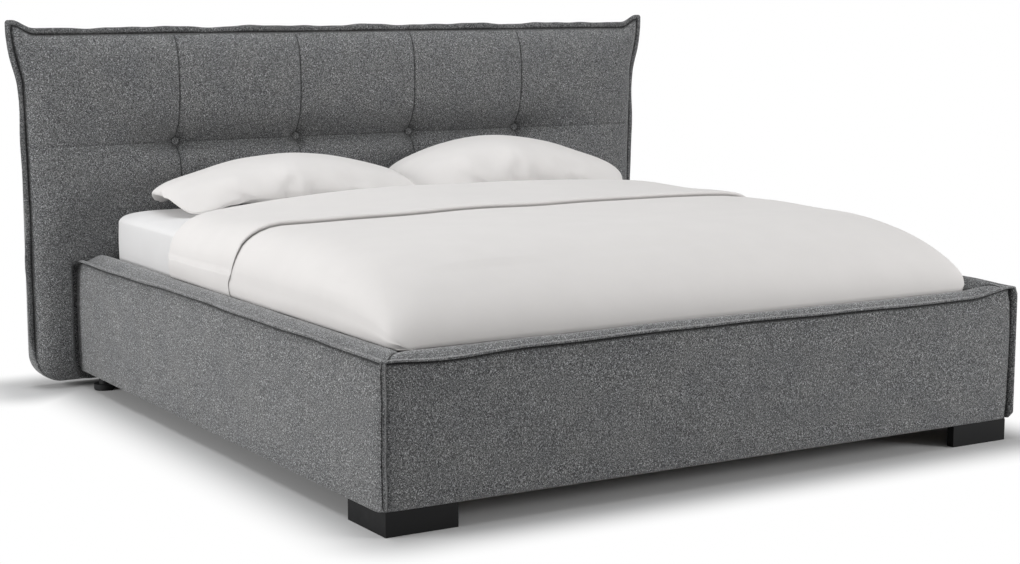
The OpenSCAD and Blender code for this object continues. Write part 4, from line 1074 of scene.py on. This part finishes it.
def duvet_row(y, flap):
    """The duvet's outer side across the bed at one place along it: tuck, side, top, side, tuck."""
    half = duvet_half(y) + 0.0025 * flap
    gaps = np.array([0, 1.5, 4, 8, 13, 20, 29, 40, 54, 72, 95, 125, 160]) / 1000
    x = np.concatenate([half - gaps, np.linspace(half - 0.2, 0, 22)])
    x = np.concatenate([-x, x[::-1][1:]])
    top = np.column_stack([x, np.full(len(x), y), duvet_top(x, y, flap)])
    sides = []
    well = min(WELL_X, half - 0.01)
    for s, rim in ((-1, top[0, 2]), (1, top[-1, 2])):
        low = min(BRIM + 0.01, rim)
        levels = [(well - 0.006, TUCK), (well - 0.002, TUCK + 0.005), (well, BRIM - 0.01),
                  (well + 0.007, BRIM - 0.003), (half - 0.009, min(BRIM - 0.0012, rim)),
                  (half - 0.003, min(BRIM + 0.002, rim)), (half, low)]
        levels += [(half + 0.002 * math.sin(math.pi * t), low + (rim - low) * t)
                   for t in np.linspace(0, 1, SIDE_POINTS - 5)[1:-1]]
        sides.append(np.array([(s * across, y, z) for across, z in levels]))
    row = np.concatenate([sides[0], top, sides[1][::-1]])
    if y < WELL_Y + 0.004:
        row[:, 2] = np.maximum(row[:, 2], BRIM - 0.002)
    return row


def under_row(y, outer):
    """The duvet's lower side, lying on the sheet below each point of its outer side."""
    x = np.clip(outer[:, 0], -MATTRESS_HALF - LAY, MATTRESS_HALF + LAY)
    z = mattress_top(x, np.full(len(x), max(y, MATTRESS_Y0))) + LAY
    for part in (slice(SIDE_POINTS), slice(-SIDE_POINTS, None)):
        z[part] = np.minimum(outer[part, 2], z[part])
    return np.column_stack([x, np.full(len(x), y), z])


def duvet():
    """One closed skin: turned-back part, roll at the head, lower side, then the main part."""
    places = np.linspace(0, 1, len(duvet_row(1.0, 0)))
    hem = 0.006 * np.sin(23 * places) + 0.0042 * np.sin(57 * places + 1)
    rows, seams = [], []

    def put(row, seam=0.0):
        rows.append(row)
        seams.append(np.full(len(row), seam))

    # the turned-back part: its hem, then toward the head
    body, turned = duvet_row(TURN, 0.0), duvet_row(TURN, 1.0)
    # the third number of each hem row is painted shade: the shadow line under the turned-back hem
    hem_fold = (0.15, 0.004, 1.0), (0.32, 0.0006, 0.7), (0.62, 0.0, 0.1), (0.86, 0.0018, 0)
    for lift, back, seam in hem_fold:
        row = body + (turned - body) * lift
        row[:, 1] = TURN + back + hem
        put(row, seam)
    for y in (TURN + 0.006, TURN + 0.015, *np.linspace(TURN + 0.03, HEAD - 0.05, 34)):
        row = duvet_row(y, 1.0)
        row[:, 1] += hem * (1 - smoothstep(y, TURN, TURN + 0.15))
        put(row)
    # the roll at the head, and the lower side back to the foot
    outer = duvet_row(HEAD - HEAD_R, 1.0)
    under = under_row(HEAD - HEAD_R, outer)
    for a in np.linspace(0, math.pi, 18)[1:]:
        row = under + (outer - under) * (0.5 + 0.5 * math.cos(a))
        row[:, 1] = HEAD - HEAD_R + HEAD_R * math.sin(a) ** 0.85
        put(row)
    near_foot = (0.2, 0.17, 0.15, 0.137, 0.13, MATTRESS_Y0 + 0.001)
    for y in (*np.linspace(HEAD - 0.07, 0.24, 36), *near_foot):
        put(under_row(y, duvet_row(y, 0.0)))
    # down the mattress's foot end, and the outer side back up
    last = under_row(MATTRESS_Y0, duvet_row(MATTRESS_Y0 + 0.02, 0.0))
    first = duvet_row(FOOT_LINE, 0.0)
    drops = [(last, MATTRESS_Y0 - LAY, level) for level in (0.52, 0.48, 0.45, TUCK)]
    drops += [(first, WELL_Y + 0.006, TUCK), (first, WELL_Y + 0.001, TUCK + 0.005),
              (first, WELL_Y, BRIM - 0.01), (first, WELL_Y - 0.005, BRIM - 0.003)]
    for line, y, level in drops:
        row = line.copy()
        row[:, 1] = y
        row[:, 2] = np.minimum(row[:, 2], level)
        put(row)
    steps = np.array([0, 0.6, 1.8, 3.6, 6.4, 10, 15, 22, 31, 43, 58, 76]) / 1000
    for y in (*(FOOT_LINE + steps), *np.linspace(FOOT_LINE + 0.1, TURN - 0.04, 50)):
        put(duvet_row(y, 0.0))
    # painted shade under the hem's edge on the main part
    for back, seam in ((-0.022, 0.0), (-0.01, 0.05), (-0.003, 0.5), (0.004, 1.0)):
        row = duvet_row(TURN + back, 0.0)
        row[:, 1] += hem
        put(row, seam)
    points = np.stack(rows)
    x, y, z = np.moveaxis(points, -1, 0)  # views: what is added to them is added to the points
    # long soft waves on top, and shorter ones down the sides
    clear = z - MATTRESS_Z1 > 0.004 - edge_drop(MATTRESS_HALF - np.abs(x))
    slow = (wave(points * (1, 0.7, 0), 2.0, 5.0) * 0.0055
            + wave(points * (0.6, 1, 0), 5.2, 8.0) * 0.0018)
    z += slow * smoothstep(z, BRIM + 0.02, BRIM + 0.08) * clear * (y > WELL_Y + 0.002)
    at_side = (np.abs(x) > MATTRESS_HALF + 0.012) * smoothstep(z, BRIM, BRIM + 0.05)
    x += np.sign(x) * at_side * wave(points * (0, 1, 0.3), 3.4, 2.0) * 0.0042
    n = points.shape[1]
    faces = quads(len(rows), n, True, False)
    faces += [tuple(i * n + column for i in range(len(rows))) for column in (0, n - 1)]
    piece = make("duvet_cover", (points, faces, seams), bed_linen, ("duvet",), "duvet")


duvet()

# ---- Pillows ----


def coordinates(mesh):
    found = np.empty(len(mesh.vertices) * 3)
    mesh.vertices.foreach_get("co", found)
    return found.reshape(-1, 3)


def inflate(piece, frames=20):
    """Blow up a flat case by cloth simulation and give back where its points come to lie."""
    cloth = piece.modifiers.new("cloth", "CLOTH")
    settings = cloth.settings
    settings.quality = 6
    settings.mass = 0.25
    settings.tension_stiffness = settings.compression_stiffness = 18
    settings.shear_stiffness = 6
    settings.bending_stiffness = 0.6
    settings.use_pressure = True
    settings.uniform_pressure_force = 4.0
    settings.effector_weights.gravity = 0
    cloth.point_cache.frame_start, cloth.point_cache.frame_end = 1, frames
    smooth = piece.modifiers.new("smooth", "SMOOTH")
    smooth.factor, smooth.iterations = 0.5, 34
    for frame_number in range(1, frames + 1):
        scene.frame_set(frame_number)
    result = piece.evaluated_get(bpy.context.evaluated_depsgraph_get())
    baked = bpy.data.meshes.new_from_object(result)
    found = coordinates(baked)
    piece.modifiers.clear()
    bpy.data.meshes.remove(baked)
    scene.frame_set(1)
    return found


def evened(place, share, along, across, half):
    """Places across a pillow, stretched so that its two edges run in one soft curve along it."""
    stations = np.linspace(-0.95, 0.95, 20)
    near = [place[np.abs(share[:, along] - at) < 0.06, across] for at in stations]
    low = np.interp(share[:, along], stations, [found.min() for found in near])
    high = np.interp(share[:, along], stations, [found.max() for found in near])
    wanted = half * (1 - 0.16 * np.abs(share[:, along]) ** 3)
    even = (2 * (place[:, across] - low) / (high - low) - 1) * wanted
    return even + (place[:, across] - even) * smoothstep(np.abs(share[:, along]), 0.82, 0.98)


def pillow(name, centre, size, angle, tilt, slope, seed):
    """A stuffed pillow: two panels joined at their edges, inflated, then laid on the mattress."""
    width, depth, height = size
    nx, ny = 92, 48
    u, v = np.meshgrid(np.linspace(-1, 1, nx), np.linspace(-1, 1, ny), indexing="ij")
    blown = 0.0075
    fill = blown * (1 - np.abs(u) ** 2.4) ** 0.6 * (1 - np.abs(v) ** 2.4) ** 0.6
    flat = np.stack([u * width / 2 * (1 - 0.15 * v ** 4),  # the corners trimmed
                     v * depth / 2 * (1 - 0.26 * u ** 4), fill], -1)
    points = np.concatenate([flat.reshape(-1, 3), (flat * (1, 1, -1)).reshape(-1, 3)])
    faces = quads(nx, ny) + quads(nx, ny, start=nx * ny)
    piece = make(name + "_case", (points - (0, FOOT, 0), faces), bed_linen,
                 (name,), name)
    found = inflate(piece)
    found = found - (found.max(0) + found.min(0)) / 2
    found = found * (np.array(size) / (found.max(0) - found.min(0)))
    share = found / (np.array(size) / 2)
    found[:, 1] = evened(found, share, 0, 1, depth / 2)
    found[:, 0] = evened(found, share, 1, 0, width / 2)
    x, y, z = found.T
    along, across, up = (found / (np.array(size) / 2)).T
    upper = up > 0
    middle = (np.clip(1 - along ** 2, 0, 1) * np.clip(1 - across ** 2, 0, 1)) ** 0.5
    # it rests flat: the lower half is pressed thin, the corners hang to the sheet
    z = np.where(z < 0, z * 0.42, z)
    z = z + 0.21 * height * middle * upper
    z = z + tilt * smoothstep(across, -0.8, 0.9) * (1 - 0.4 * along ** 2)
    z = z * (1 - 0.18 * smoothstep(np.abs(along), 0.45, 1.0) * upper)
    z = z * (1 - abs(slope) * smoothstep(along * np.sign(slope), -0.2, 1.0))
    z = z - 0.32 * height * smoothstep(np.abs(along * across), 0.35, 0.9)
    z = z + (wave(found, 3.0, seed) * 0.003 + wave(found, 7.5, seed + 3) * 0.002) * middle * upper
    c, s = math.cos(math.radians(angle)), math.sin(math.radians(angle))
    px, py = centre[0] + c * x - s * y, centre[1] + s * x + c * y
    sheet_z = MATTRESS_Z1 + 0.001
    pz = np.maximum(z - z.min() + sheet_z, sheet_z - edge_drop(MATTRESS_HALF - np.abs(px)))
    piece.data.vertices.foreach_set("co", np.column_stack([px, py + FOOT, pz]).reshape(-1))
    finer = piece.modifiers.new("finer", "SUBSURF")
    finer.levels = finer.render_levels = 1
    piece.data.update()


# centre, size, angle in degrees, rise toward the head, how far one end is lower, seed
pillow("left_pillow", (-0.4, 1.87), (0.86, 0.43, 0.165), -4.0, 0.006, -0.22, 2.0)
pillow("right_pillow", (0.432, 1.868), (0.86, 0.43, 0.188), -1.5, 0.016, 0.18, 6.0)
